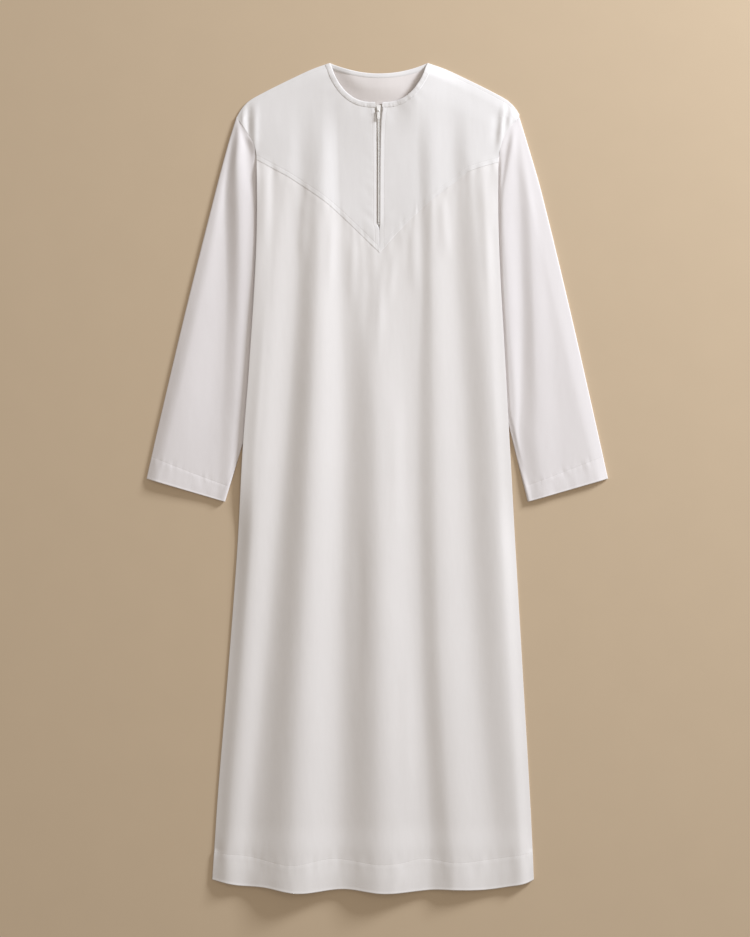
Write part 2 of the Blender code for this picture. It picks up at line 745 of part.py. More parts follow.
def zip_pull(finish):
    """Pull tab lying towards the hem, its end bar caught in the bail; its origin is on its axis."""
    bar = PULL_WALL * 0.5
    shape = block((-PULL_WIDTH * 0.5, -PULL_LENGTH, -bar), (PULL_WIDTH * 0.5, bar, bar))
    for vertex in shape.verts:
        if vertex.co.y > 0.0:
            vertex.co.x *= PULL_HEAD / PULL_WIDTH
    corners = [edge for edge in shape.edges if abs(edge.verts[0].co.z - edge.verts[1].co.z) > bar]
    foot = [edge for edge in corners if edge.verts[0].co.y < -bar]
    bmesh.ops.bevel(shape, geom=foot, offset=PULL_WIDTH * 0.3, affect="EDGES", segments=3,
                    profile=0.5, material=-1)
    part = add_object("zip_pull", shape, finish, smooth=False)
    half = PULL_WINDOW_WIDTH * 0.5
    window = block((-half, -PULL_WINDOW, -PULL_WALL), (half, -bar, PULL_WALL))
    window_tool = add_object("pull_window_tool", window, finish, smooth=False)
    hole = bmesh.new()
    bmesh.ops.create_cone(hole, cap_ends=True, segments=12, radius1=PULL_HOLE, radius2=PULL_HOLE,
                          depth=PULL_WALL * 3.0)
    bmesh.ops.translate(hole, verts=hole.verts, vec=(0.0, -PULL_HOLE_REACH, 0.0))
    hole_tool = add_object("pull_hole_tool", hole, finish, smooth=False)
    for item in (part, window_tool, hole_tool):
        item.location = (ZIP_X, PIVOT_Y, pivot_height())
    join_with(part, window_tool, "DIFFERENCE")
    join_with(part, hole_tool, "DIFFERENCE")
    return part


def main():
    """Clear the scene and build every piece of the robe."""
    for item in list(bpy.data.objects):
        bpy.data.objects.remove(item, do_unlink=True)
    white_cloth = material("white_cotton_cloth", (0.80, 0.79, 0.78), 0.85)
    binding_cloth = material("white_binding_cloth", (0.82, 0.81, 0.80), 0.80)
    tape_cloth = material("white_zip_tape", (0.70, 0.69, 0.68), 0.75)
    coil = material("white_nylon_coil", (0.80, 0.80, 0.80), 0.45)
    enamel = material("white_enamelled_metal", (0.78, 0.78, 0.77), 0.30)
    back_panel(white_cloth)
    front_skirt(white_cloth)
    yoke("yoke_left", -1, white_cloth)
    yoke("yoke_right", 1, white_cloth)
    sleeve("sleeve_left", -1, white_cloth)
    sleeve("sleeve_right", 1, white_cloth)
    front_binding("neck_binding_left", -1, binding_cloth)
    front_binding("neck_binding_right", 1, binding_cloth)
    back_binding("neck_binding_back", binding_cloth)
    zip_tape("zip_tape_left", -1, tape_cloth)
    zip_tape("zip_tape_right", 1, tape_cloth)
    zip_chain(coil)
    zip_slider(enamel)
    zip_pull(enamel)


main()
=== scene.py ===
"""Thobe robe laid flat on its back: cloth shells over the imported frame, neck binding, coil zip, sewing.

Metres. +X is the right-hand sleeve seen from above, +Y points to the neck, +Z up off the surface.
Side -1 is the left, +1 the right.
"""
import math

import bmesh
import bpy
from bpy.props import FloatProperty, FloatVectorProperty, PointerProperty
from mathutils import Matrix, Vector, noise


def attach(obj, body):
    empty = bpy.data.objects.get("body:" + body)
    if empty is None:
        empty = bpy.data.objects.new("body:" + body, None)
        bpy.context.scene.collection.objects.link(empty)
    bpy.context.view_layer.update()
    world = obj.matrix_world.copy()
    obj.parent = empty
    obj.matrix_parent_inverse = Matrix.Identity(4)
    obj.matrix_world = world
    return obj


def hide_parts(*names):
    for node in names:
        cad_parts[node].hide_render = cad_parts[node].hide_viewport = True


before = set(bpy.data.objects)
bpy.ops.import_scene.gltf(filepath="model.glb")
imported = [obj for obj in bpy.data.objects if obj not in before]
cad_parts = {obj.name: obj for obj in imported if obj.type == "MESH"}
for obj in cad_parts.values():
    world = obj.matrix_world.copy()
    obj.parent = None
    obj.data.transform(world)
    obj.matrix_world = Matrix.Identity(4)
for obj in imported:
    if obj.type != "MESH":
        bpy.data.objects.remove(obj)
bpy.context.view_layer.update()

bl_info = {
    "name": "Thobe Robe Laid Flat",
    "version": (1, 0, 0),
    "blender": (4, 5, 0),
    "location": "View3D > Sidebar > Robe",
    "description": "Builds a plain white thobe robe lying flat, piece by piece, with a soft studio stage",
    "category": "Object",
}

BODY = "garment"
PULL_BODY = "pull"

# Cloth levels shared with the frame's solids
WALL = 0.0012
GAP = 0.0003
FRAME_HEM_WALL = 0.0020
HEM_DEPTH = 0.050
CUFF_DEPTH = 0.041
LEFT_COLUMN, RIGHT_COLUMN = 1, 2

# Body outline: the place along the garment, then the left and right edges
SIDE_EDGES = (
    (-0.740, -0.2945, 0.2785),
    (-0.658, -0.2894, 0.2756),
    (-0.552, -0.2823, 0.2703),
    (-0.339, -0.2646, 0.2579),
    (-0.127, -0.2487, 0.2455),
    (0.060, -0.2380, 0.2348),
    (0.210, -0.2265, 0.2265),
    (0.420, -0.2143, 0.2155),
    (0.567, -0.2143, 0.2150),
    (0.593, -0.2189, 0.2200),
    (0.620, -0.2350, 0.2325),
    (0.641, -0.2500, 0.2520),
)
# Hem: across the garment, then the hem's place along it
HEM_EDGE = (
    (-0.292, -0.711),
    (-0.243, -0.7205),
    (-0.199, -0.7230),
    (-0.137, -0.7320),
    (-0.057, -0.7265),
    (0.015, -0.7330),
    (0.111, -0.7275),
    (0.191, -0.7280),
    (0.2400, -0.7215),
    (0.2650, -0.7165),
    (0.2775, -0.711),
)
# Hem stitching: across the garment, then the line's place along it
HEM_STITCH = (
    (-0.286, -0.664),
    (-0.235, -0.668),
    (-0.156, -0.683),
    (-0.116, -0.678),
    (-0.077, -0.673),
    (0.002, -0.682),
    (0.042, -0.680),
    (0.080, -0.673),
    (0.140, -0.680),
    (0.200, -0.675),
    (0.274, -0.664),
)
# Shoulder: distance out from the neck point, then the drop below it
SHOULDER_DROP = (
    (0.000, 0.0000),
    (0.030, 0.0106),
    (0.061, 0.0248),
    (0.090, 0.0389),
    (0.118, 0.0531),
    (0.1425, 0.0673),
    (0.156, 0.0814),
    (0.1650, 0.0965),
)
NECK_POINT_Y = 0.7376
NECK_POINT_X = {-1: -0.0850, 1: 0.0900}
NECK_CENTRE_X = 0.0025
# Front neckline: distance out from its centre, then its place along the garment
FRONT_NECK = (
    (0.0060, 0.6662),
    (0.0195, 0.6668),
    (0.0327, 0.6695),
    (0.0460, 0.6755),
    (0.0600, 0.6870),
    (0.0708, 0.7013),
    (0.0790, 0.7165),
    (0.0832, 0.7288),
    (0.0870, 0.7376),
)
BACK_NECK_Y = 0.7179
BACK_NECK_POWER = 2.0

# Yoke seam: across the garment, then the seam's place along it
YOKE_SEAM = (
    (-0.2143, 0.565),
    (-0.1796, 0.546),
    (-0.1540, 0.532),
    (-0.0939, 0.491),
    (-0.0615, 0.463),
    (0.0042, 0.400),
    (0.0517, 0.453),
    (0.0981, 0.495),
    (0.1443, 0.530),
    (0.1629, 0.544),
    (0.2150, 0.561),
)
POINT_X = 0.0042
POINT_ROW = 5
# Centre front: the place along the garment, then the left and right yoke's edges
CENTRE_EDGES = (
    (0.4000, 0.0041, 0.0043),
    (0.4200, 0.0038, 0.0040),
    (0.4430, 0.0035, 0.0037),
    (0.4520, 0.0003, 0.0045),
    (0.4900, 0.0002, 0.0046),
    (0.5300, 0.0000, 0.0048),
    (0.5700, -0.0003, 0.0051),
    (0.6050, -0.0008, 0.0057),
    (0.6320, -0.0016, 0.0066),
    (0.6540, -0.0045, 0.0092),
    (0.6662, -0.0036, 0.0094),
)

# Crest and valley lines of the body's folds, left to right: place along, place across, height
BODY_LINES = (
    ((-0.711, -0.262, 0.0062), (-0.392, -0.238, 0.0060), (-0.109, -0.220, 0.0062), (0.139, -0.208, 0.0060),
     (0.369, -0.186, 0.0040), (0.582, -0.158, 0.0020)),
    ((-0.711, -0.234, 0.0034), (-0.392, -0.204, 0.0018), (-0.109, -0.179, 0.0008), (0.139, -0.158, 0.0003),
     (0.369, -0.144, 0.0003), (0.582, -0.137, 0.0010)),
    ((-0.711, -0.150, 0.0190), (-0.392, -0.137, 0.0155), (-0.109, -0.123, 0.0123), (0.139, -0.113, 0.0098),
     (0.369, -0.105, 0.0070), (0.582, -0.098, 0.0042)),
    ((-0.711, -0.066, 0.0045), (-0.392, -0.064, 0.0022), (-0.109, -0.061, 0.0010), (0.139, -0.057, 0.0004),
     (0.369, -0.061, 0.0002), (0.582, -0.068, 0.0002)),
    ((-0.711, 0.006, 0.0155), (-0.392, 0.003, 0.0138), (-0.109, 0.002, 0.0115), (0.139, -0.002, 0.0085),
     (0.260, -0.006, 0.0054), (0.369, -0.010, 0.0020), (0.440, -0.010, 0.0001), (0.582, -0.010, 0.0001)),
    ((-0.711, 0.096, 0.0026), (-0.392, 0.079, 0.0020), (-0.109, 0.072, 0.0012), (0.139, 0.071, 0.0008),
     (0.369, 0.077, 0.0002), (0.582, 0.070, 0.0002)),
    ((-0.711, 0.138, 0.0095), (-0.392, 0.116, 0.0080), (-0.109, 0.106, 0.0062), (0.139, 0.102, 0.0048),
     (0.369, 0.098, 0.0032), (0.582, 0.096, 0.0028)),
    ((-0.711, 0.216, 0.0015), (-0.392, 0.182, 0.0006), (-0.109, 0.164, 0.0002), (0.139, 0.153, 0.0002),
     (0.369, 0.139, 0.0002), (0.582, 0.134, 0.0008)),
    ((-0.711, 0.257, 0.0040), (-0.392, 0.229, 0.0050), (-0.109, 0.213, 0.0060), (0.139, 0.201, 0.0064),
     (0.369, 0.184, 0.0056), (0.582, 0.162, 0.0036)),
)
# Lesser creases over the body: start and end places, height (a trough if negative), half width
BODY_CREASES = (
    # start x, start y, end x, end y, height, half width
    (0.010, 0.395, 0.000, 0.210, 0.0011, 0.008),
    (-0.014, 0.372, -0.020, 0.250, -0.0007, 0.008),
    (0.034, 0.415, 0.018, 0.300, 0.0012, 0.009),
    (-0.043, 0.425, -0.046, 0.300, 0.0010, 0.009),
    (-0.080, 0.460, -0.085, 0.330, 0.0009, 0.008),
    (0.063, 0.445, 0.066, 0.330, 0.0010, 0.009),
    (-0.128, 0.500, -0.134, 0.380, 0.0010, 0.009),
    (0.118, 0.495, 0.122, 0.385, 0.0011, 0.009),
    (-0.196, 0.560, -0.203, 0.400, 0.0013, 0.010),
    (0.187, 0.545, 0.200, 0.300, 0.0012, 0.010),
    (0.202, 0.560, 0.206, 0.430, 0.0009, 0.007),
    (-0.2350, 0.6680, -0.2395, 0.6250, 0.0013, 0.0034),
    (-0.2300, 0.6720, -0.2275, 0.5850, -0.0020, 0.0050),
    (-0.2160, 0.6650, -0.2165, 0.5600, 0.0013, 0.0045),
    (0.2268, 0.6680, 0.2128, 0.5700, 0.0020, 0.0046),
    (0.2335, 0.6700, 0.2215, 0.6150, -0.0014, 0.0038),
    (0.2395, 0.6600, 0.2320, 0.6200, 0.0010, 0.0036),
    (0.2130, 0.6500, 0.2080, 0.5900, -0.0011, 0.0075),
    (0.030, 0.150, 0.036, -0.150, 0.0006, 0.012),
    (-0.030, -0.080, -0.032, -0.380, -0.0006, 0.012),
    (0.052, -0.300, 0.056, -0.620, 0.0006, 0.012),
)
# Shares of a crease's length over which it starts and ends
CREASE_START = (-0.1, 0.25)
CREASE_END = (0.55, 1.1)
HEM_LEVEL = -0.711
# Air between front and back, more under the yokes, and where it goes thin below the shoulder line
BODY_LOFT = 0.0012
YOKE_LOFT = 0.0030
YOKE_LOFT_Y = (0.30, 0.56)
SHOULDER_LOFT = 0.4
SHOULDER_LOFT_REACH = 0.062
FOLDS_END = (0.560, 0.690)
# Rise of the front round the neck, and the stand of its neck edge: a ring, softer outside than inside
NECK_LIFT = 0.0040
NECK_LIFT_RADIUS = 0.085
NECK_STRETCH = 1.15
NECK_STAND = {-1: 0.0012, 1: 0.0056}
STAND_ACROSS = (0.025, 0.070)
STAND_RING = 0.082
STAND_INSIDE = 0.030
STAND_OUTSIDE = 0.052
# Swell of the back inside the neck: its reach, its soft edge, and where it falls away across and at the top
NECK_SWELL = 0.0055
SWELL_REACH = 0.090
SWELL_EDGE = 0.038
SWELL_ACROSS = (0.000, 0.090)
SWELL_TOP = (0.700, 0.735)
SWELL_LOSS = 0.2
# Soft rolls of the front into its side and shoulder edges, down to the back's rim
SIDE_ROLL = 0.026
SHOULDER_ROLL = 0.022
SHOULDER_COSINE = 0.9
ROLL_END = (0.558, 0.605)
RIM_GAP = 0.0002
# Height of the folds at the body's edges: beside the sleeves, elsewhere, and where one fades to the other
EDGE_FOLD = {-1: 0.0025, 1: 0.0050}
EDGE_REST = {-1: 0.0012, 1: 0.0018}
EDGE_FADE = (0.470, 0.575)
# Turned-up bands: step below the stitching, further rise down the band, curl of the pressed edge
HEM_STEP = 0.0004
HEM_STEP_REACH = (0.0, 0.005)
HEM_SPREAD = 0.0004
HEM_SPREAD_REACH = (0.004, 0.028)
HEM_CURL = 0.0005
HEM_CURL_REACH = (0.0, 0.0030)
# Yokes lapped over the skirt: rise along the seam, where it fades, depth of the folded edge, and the
# same on the far right, where the lap lies flat
LAP_LIFT = 0.0002
LAP_REACH = (0.010, 0.040)
LAP_EDGE = 0.0016
LAP_FOLD = 0.0003
LAP_FLAT_X = (0.120, 0.160)
LAP_FLAT_LIFT = 0.0001
LAP_FLAT_FOLD = 0.00005
# Lower front's duck under the lap
SEAM_DUCK = 0.0001
SEAM_DUCK_REACH = (-0.006, -0.001)
# Small puckers along sewn lines: spacing along the line, reach away from it
SEAM_PUCKERS = (0.010, 0.012)
HEM_PUCKERS = (0.012, 0.016)
CUFF_PUCKERS = (0.009, 0.010)
# Wider waves beside them: size along the line and away from it
SEAM_GATHERS = (0.013, 0.200)
HEM_WAVES = (0.020, 0.050)
CUFF_WAVES = (0.013, 0.040)
ZIP_WAVES = (0.013, 0.050)
NECK_WAVES = (0.160, 0.050)
# Where they grow and stop, by distance from the line, and along the zip by place
GATHERS_GROW = (-0.085, -0.004)
GATHERS_STOP = (-0.004, 0.012)
HEM_WAVES_STOP = (-0.010, 0.012)
CUFF_WAVES_STOP = (-0.008, 0.010)
NECK_WAVES_STOP = (0.085, 0.135)
ZIP_WAVES_START = (0.004, 0.011)
ZIP_WAVES_STOP = (0.014, 0.034)
ZIP_WAVES_TOP = (0.63, 0.66)
ZIP_WAVES_FADE = (0.43, 0.56)
ZIP_WAVES_REST = 0.35
ZIP_SLANT = 0.6
# Their heights as shares of the pucker height: the small puckers, then the waves
SEAM_SHARES = (1.1, 1.3)
HEM_SHARES = (0.9, 1.0)
CUFF_SHARES = (0.8, 0.7)
ZIP_SHARE = 0.9
NECK_SHARE = 0.9
BINDING_SHARE = 0.5
# Finer wave inside the small puckers: how many times finer, and its shift from the first
PUCKER_DETAIL = 2.3
PUCKER_SHIFT = 7.0
# Place of each pattern in the noise, so that no two are alike
SEEDS = {"seam": 3.0, "gathers": 11.0, "zip_left": 9.0, "zip_right": 5.0, "neck": 17.0, "hem": 23.0,
         "hem_band": 29.0, "cuff": 41.0, "cuff_band": 47.0, "binding": 61.0}
# Centre edges of the yokes beside the zip: the right one stands, the left one sinks
PLACKET_STITCH = 0.0075
PLACKET_REACH = 0.0060
PLACKET_RISE = 0.0010
PLACKET_FALL = 0.0007
PLACKET_TOP = (0.600, 0.630)
PLACKET_TOP_SHARE = 0.4
# Depth of the centre's folded edge below the zip and beside it
CENTRE_FOLD = (0.0001, 0.0006)

# Sleeves' outer edge: the place along, then the left and right place across
SLEEVE_OUTER = (
    (0.000, -0.4096, 0.4096),
    (0.086, -0.3903, 0.3907),
    (0.298, -0.3407, 0.3429),
    (0.511, -0.2876, 0.2915),
    (0.591, -0.2664, 0.2685),
    (0.641, -0.2510, 0.2532),
)
# Inner corner of the cuff, and the foot of the armhole
CUFF_INNER = {-1: (-0.2700, -0.0410), 1: (0.2670, -0.0410)}
UNDERARM = {-1: (-0.136, 0.400), 1: (0.157, 0.400)}
# Armhole as the sleeve's end: share of the sleeve's width, place along, left and right place across
ARMHOLE = (
    (0.00, 0.641, -0.2502, 0.2524),
    (0.08, 0.620, -0.2350, 0.2325),
    (0.18, 0.593, -0.2189, 0.2200),
    (0.28, 0.567, -0.2143, 0.2150),
    (0.50, 0.510, -0.1980, 0.2030),
    (0.76, 0.448, -0.1680, 0.1830),
    (1.00, 0.400, -0.1360, 0.1570),
)
# Heights of a sleeve's tucked side and of its outer fold
SLEEVE_TUCK = 0.0034
OUTER_FOLD = 0.0038
# Rise of the back over the tucked sides: how far past them, how steep, and where it starts and ends
TUCK_MARGIN = 0.040
TUCK_SLOPE = 0.030
TUCK_LOW = (-0.150, 0.055)
TUCK_TOP = (0.578, 0.605)
# Further rise of the body's edges over the sleeves beside them
EDGE_LIFT = {-1: 0.0040, 1: 0.0026}
EDGE_REACH = 0.030
EDGE_LOW = (-0.110, 0.010)
EDGE_TOP = (0.530, 0.578)
# Front over the tucked sleeves: how far it rises, where across, and how low it starts
FRONT_LIFT = 0.0019
FRONT_RISE = (0.010, 0.100)
FRONT_LOW = -0.320
# Sleeve beside the body: where it thins to the tuck, along and across
SLEEVE_THIN = (-0.030, 0.045)
BODY_CLEAR = 0.0004
BODY_RISE = 0.0042
# Crest and valley lines of a sleeve's folds, outer to inner: place along, place across, height
SLEEVE_LINES = {
    -1: (
        ((0.000, -0.386, 0.0080), (0.068, -0.368, 0.0086), (0.139, -0.352, 0.0088), (0.228, -0.338, 0.0080),
         (0.298, -0.325, 0.0072), (0.369, -0.311, 0.0064), (0.440, -0.296, 0.0058), (0.511, -0.281, 0.0054),
         (0.564, -0.269, 0.0052), (0.620, -0.2565, 0.0050)),
        ((-0.041, -0.284, 0.0046), (0.068, -0.280, 0.0034), (0.139, -0.277, 0.0027), (0.228, -0.273, 0.0026),
         (0.298, -0.270, 0.0026), (0.369, -0.270, 0.0026), (0.440, -0.270, 0.0026), (0.511, -0.270, 0.0028),
         (0.564, -0.264, 0.0036), (0.620, -0.256, 0.0046)),
        ((-0.041, -0.266, 0.0057), (0.024, -0.261, 0.0052), (0.068, -0.258, 0.0048), (0.139, -0.252, 0.0048),
         (0.228, -0.248, 0.0054), (0.298, -0.2455, 0.0064), (0.369, -0.2435, 0.0078),
         (0.440, -0.2435, 0.0090), (0.511, -0.2455, 0.0094), (0.564, -0.2485, 0.0090),
         (0.594, -0.2475, 0.0086), (0.620, -0.2465, 0.0080)),
        ((-0.041, -0.264, 0.0056), (0.024, -0.254, 0.0049), (0.068, -0.249, 0.0045), (0.139, -0.242, 0.0046),
         (0.228, -0.237, 0.0050), (0.298, -0.2325, 0.0056), (0.369, -0.2275, 0.0066),
         (0.440, -0.2235, 0.0070), (0.502, -0.2205, 0.0064), (0.542, -0.2230, 0.0050),
         (0.587, -0.2290, 0.0040), (0.620, -0.2405, 0.0048)),
    ),
    1: (
        ((0.000, 0.375, 0.0064), (0.139, 0.350, 0.0064), (0.228, 0.336, 0.0062), (0.369, 0.310, 0.0056),
         (0.440, 0.297, 0.0054), (0.564, 0.272, 0.0054), (0.620, 0.2570, 0.0052)),
        ((0.000, 0.330, 0.0063), (0.139, 0.323, 0.0061), (0.228, 0.316, 0.0061), (0.369, 0.301, 0.0057),
         (0.440, 0.291, 0.0055), (0.564, 0.270, 0.0055), (0.620, 0.2560, 0.0054)),
        ((-0.041, 0.300, 0.0072), (0.068, 0.284, 0.0078), (0.139, 0.284, 0.0078), (0.228, 0.281, 0.0078),
         (0.298, 0.279, 0.0075), (0.369, 0.276, 0.0070), (0.440, 0.273, 0.0067), (0.511, 0.267, 0.0064),
         (0.564, 0.2600, 0.0063), (0.620, 0.2500, 0.0064)),
        ((-0.041, 0.272, 0.0052), (0.068, 0.253, 0.0047), (0.139, 0.256, 0.0043), (0.228, 0.257, 0.0041),
         (0.298, 0.257, 0.0041), (0.369, 0.255, 0.0041), (0.440, 0.253, 0.0043), (0.511, 0.251, 0.0048),
         (0.564, 0.2490, 0.0056), (0.620, 0.2475, 0.0062)),
        ((-0.041, 0.268, 0.0054), (0.068, 0.246, 0.0056), (0.139, 0.243, 0.0060), (0.228, 0.237, 0.0064),
         (0.298, 0.233, 0.0066), (0.369, 0.229, 0.0068), (0.440, 0.2240, 0.0070), (0.502, 0.2235, 0.0072),
         (0.542, 0.2295, 0.0073), (0.586, 0.2375, 0.0074), (0.624, 0.2437, 0.0072)),
        ((-0.041, 0.266, 0.0054), (0.068, 0.240, 0.0052), (0.139, 0.2345, 0.0054), (0.228, 0.2290, 0.0057),
         (0.298, 0.2245, 0.0059), (0.440, 0.2180, 0.0060), (0.502, 0.2185, 0.0060), (0.542, 0.2235, 0.0057),
         (0.586, 0.2300, 0.0053), (0.624, 0.2370, 0.0057)),
    ),
}
# Where the armhole seam shows, the sleeve rises to it: how far out, and how far below the front it stays
JOIN_REACH = 0.012
JOIN_DROP = 0.0001
JOIN_Y = (0.548, 0.585)

# Zip: tapes, coil, slider and pull. Tops and feet are places along the garment
ZIP_X = 0.0024
TAPE_WIDTH = 0.0135
TAPE_WALL = 0.0010
TAPE_SHELL = 0.0006
ZIP_FOOT = 0.4475
# Where the centre seam opens over the zip's foot
OPENING = (ZIP_FOOT - 0.004, ZIP_FOOT + 0.008)
CHAIN_HEIGHT = 0.0017
CHAIN_FOOT = 0.4540
TAPE_TOP = 0.6645
SLIDER_TOP = 0.6610
SLIDER_FOOT = 0.6490
SLIDER_WIDTH = 0.0076
SLIDER_MOUTH = 0.0050
SLIDER_CORE_FOOT = 0.6550
TAPE_SPREAD = 0.0018
SPREAD_Y = (0.643, 0.654)
SLIDER_CORE = 0.0024
SLIDER_ROOM = 0.0006
PLATE = 0.0009
PIVOT_Y = 0.6515
PIVOT_RISE = 0.0010
PULL_LENGTH = 0.0155
PULL_WIDTH = 0.0054
PULL_HEAD = 0.0044
PULL_WALL = 0.0009
PULL_HOLE = 0.0010
PULL_HOLE_Y = 0.0128
PULL_WINDOW = 0.0026
# Turns of the coil: shares of its width out and of its height up, and half sizes as shares of its own
COIL_OUT = 0.12
COIL_RISE = 0.95
COIL_HALF = (0.38, 0.50, 0.50)
# Bottom stop of the zip, in two halves: distance below the chain, out from its middle, rise, half sizes
STOP_DROP = 0.0022
STOP_OUT = 0.0009
STOP_RISE = 0.0012
STOP_SIZE = (0.0008, 0.0018, 0.0008)


def linear(code):
    """Linear red, green and blue of an sRGB hex colour."""
    parts = [int(code[at:at + 2], 16) / 255.0 for at in (1, 3, 5)]
    return tuple(part / 12.92 if part <= 0.04045 else ((part + 0.055) / 1.055) ** 2.4 for part in parts)


def colour(name, note, code):
    """Colour property with an sRGB hex default."""
    return FloatVectorProperty(name=name, description=note, subtype="COLOR", size=3, min=0.0, max=1.0,
                               default=linear(code))


def length(name, note, default):
    """Length property in metres."""
    return FloatProperty(name=name, description=note, default=default, min=0.0, subtype="DISTANCE",
                         unit="LENGTH", precision=5)


class RobeClothSettings(bpy.types.PropertyGroup):
    """Cloth of the robe."""

    shell: length("Cloth wall", "Thickness of one layer of cloth", 0.0009)
    hem_shell: length("Hem wall", "Thickness of a turned-up hem", 0.0017)
    fold_scale: FloatProperty(name="Fold height", description="Height of the large folds against their table",
                              default=1.0, min=0.3, max=1.3, subtype="FACTOR")
    pucker: length("Pucker height", "Height of the small puckers along the seams", 0.0006)
    thread_spacing: length("Weave spacing", "Spacing of the drawn threads", 0.0009)
    body_colour: colour("Body colour", "Colour of the body's cloth", "#EDEAE9")
    skirt_colour: colour("Skirt colour", "Colour of the lower front's cloth", "#ECE8E6")
    # Painted shade: the back's colour is duller and warmer than the body's, for the shade and warm bounce
    # light inside the neck
    back_painted_shade_colour: colour("Back colour", "Colour of the back's cloth, seen in the shade of the neck", "#E8E1DE")
    sleeve_colour: colour("Sleeve colour", "Colour of the sleeves' cloth", "#ECE7E7")


class RobeZipSettings(bpy.types.PropertyGroup):
    """Front zip."""

    coil_pitch: length("Coil pitch", "Spacing of the coil's turns along the zip", 0.0013)
    coil_width: length("Coil width", "Width of the closed coil", 0.0028)
    enamel_colour: colour("Enamel colour", "Colour of the slider and its pull", "#F6F4F2")
    tape_colour: colour("Tape colour", "Colour of the zip tape", "#D2CDC8")


class RobeSewingSettings(bpy.types.PropertyGroup):
    """Sewing thread."""

    stitch_pitch: length("Stitch pitch", "Distance from one stitch to the next", 0.0030)
    stitch_length: length("Stitch length", "Visible length of a stitch", 0.0022)
    thread: length("Thread thickness", "Diameter of the sewing thread", 0.0004)
    thread_colour: colour("Thread colour", "Colour of the sewing thread", "#ECE8E4")


class RobeStageSettings(bpy.types.PropertyGroup):
    """Floor, lights and camera."""

    floor_colour: colour("Floor colour", "Colour of the plain floor", "#CFB99C")
    camera_height: length("Camera height", "Height of the camera over the floor", 3.2)
    key_power: FloatProperty(name="Key light", description="Power of the key light in watts", default=243.0,
                             min=0.0)
    fill_power: FloatProperty(name="Fill light", description="Power of the overhead fill in watts",
                              default=34.0, min=0.0)


def blend(start, end, share):
    """Value the given share of the way from start to end."""
    return start + (end - start) * share


def ease(value, low, high):
    """Smooth step from 0 at low to 1 at high."""
    share = min(1.0, max(0.0, (value - low) / (high - low)))
    return share * share * (3.0 - 2.0 * share)


def look_up(rows, key, column=1):
    """Read a column of a short table at a key between its rows, along a smooth curve."""
    if key <= rows[0][0]:
        return rows[0][column]
    if key >= rows[-1][0]:
        return rows[-1][column]
    at = 0
    while rows[at + 1][0] <= key:
        at += 1
    slopes = []
    for i in (at, at + 1):
        before, after = max(i - 1, 0), min(i + 1, len(rows) - 1)
        run = rows[after][0] - rows[before][0]
        slopes.append((rows[after][column] - rows[before][column]) / run)
    span = rows[at + 1][0] - rows[at][0]
    t = (key - rows[at][0]) / span
    start, end = rows[at][column], rows[at + 1][column]
    cubic = 2.0 * t ** 3 - 3.0 * t ** 2
    return (
        start * (1.0 + cubic) - end * cubic
        + span * (slopes[0] * (t ** 3 - 2.0 * t ** 2 + t) + slopes[1] * (t ** 3 - t ** 2))
    )


def side_column(side):
    """Column of a left-and-right table that belongs to a side."""
    return LEFT_COLUMN if side < 0 else RIGHT_COLUMN


def centre_edge(side, y):
    """Centre edge of one upper front, straight between the rows of its table."""
    column = side_column(side)
    for low, high in zip(CENTRE_EDGES, CENTRE_EDGES[1:]):
        if y <= high[0]:
            share = max(0.0, (y - low[0]) / (high[0] - low[0]))
            return blend(low[column], high[column], share)
    return CENTRE_EDGES[-1][column]


def side_edge(side, y):
    """Body's outline on one side."""
    return look_up(SIDE_EDGES, y, side_column(side))


def shoulder_edge(x):
    """Shoulder line over a place across the garment, level past the neck point."""
    side = -1 if x < NECK_CENTRE_X else 1
    return NECK_POINT_Y - look_up(SHOULDER_DROP, side * (x - NECK_POINT_X[side]))


def back_neck_edge(x):
    """Back neckline over a place across the garment."""
    side = -1 if x < NECK_CENTRE_X else 1
    share = (x - NECK_CENTRE_X) / (NECK_POINT_X[side] - NECK_CENTRE_X)
    return BACK_NECK_Y + (NECK_POINT_Y - BACK_NECK_Y) * share ** BACK_NECK_POWER


def sleeve_inner_x(side, y):
    """Sleeve's inner boundary under the body: its lower edge, and above that the armhole."""
    cuff, underarm = CUFF_INNER[side], UNDERARM[side]
    if y <= underarm[1]:
        return blend(cuff[0], underarm[0], (y - cuff[1]) / (underarm[1] - cuff[1]))
    rows = [(row[1], row[2], row[3]) for row in reversed(ARMHOLE)]
    return look_up(rows, y, side_column(side))


def edge_lift(side, x, y):
    """Further rise along one edge of the body, beside the sleeve."""
    near = 1.0 - ease(side * (side_edge(side, y) - x), 0.0, EDGE_REACH)
    return EDGE_LIFT[side] * near * ease(y, *EDGE_LOW) * (1.0 - ease(y, *EDGE_TOP))


def back_base(x, y):
    """Underside of the back panel: on the floor, and raised where a sleeve lies beneath it."""
    side = -1 if x < 0.0 else 1
    inside = side * (x - sleeve_inner_x(side, y)) + TUCK_MARGIN + TUCK_SLOPE
    raised = ease(inside, 0.0, TUCK_SLOPE)
    raised *= ease(y, *TUCK_LOW) * (1.0 - ease(y, *TUCK_TOP))
    return (SLEEVE_TUCK + GAP) * raised + edge_lift(side, x, y)


def back_level(x, y):
    """Underside of the back panel as seen: it swells a little inside the neck, and falls to the right."""
    beside = math.hypot(min(x - NECK_CENTRE_X, 0.0), (y - NECK_POINT_Y) * NECK_STRETCH)
    swell = ease(SWELL_REACH - beside, 0.0, SWELL_EDGE) * (1.0 - ease(x, *SWELL_ACROSS))
    swell *= 1.0 - SWELL_LOSS * ease(y, *SWELL_TOP)
    return back_base(x, y) + NECK_SWELL * swell


def front_base(x, y):
    """Rise of the front over the tucked sleeves: softer and lower than the back's, which its loft clears."""
    raised = ease(abs(x), *FRONT_RISE) * ease(y, FRONT_LOW, TUCK_LOW[1]) * (1.0 - ease(y, *YOKE_LOFT_Y))
    return FRONT_LIFT * raised + edge_lift(-1, x, y)


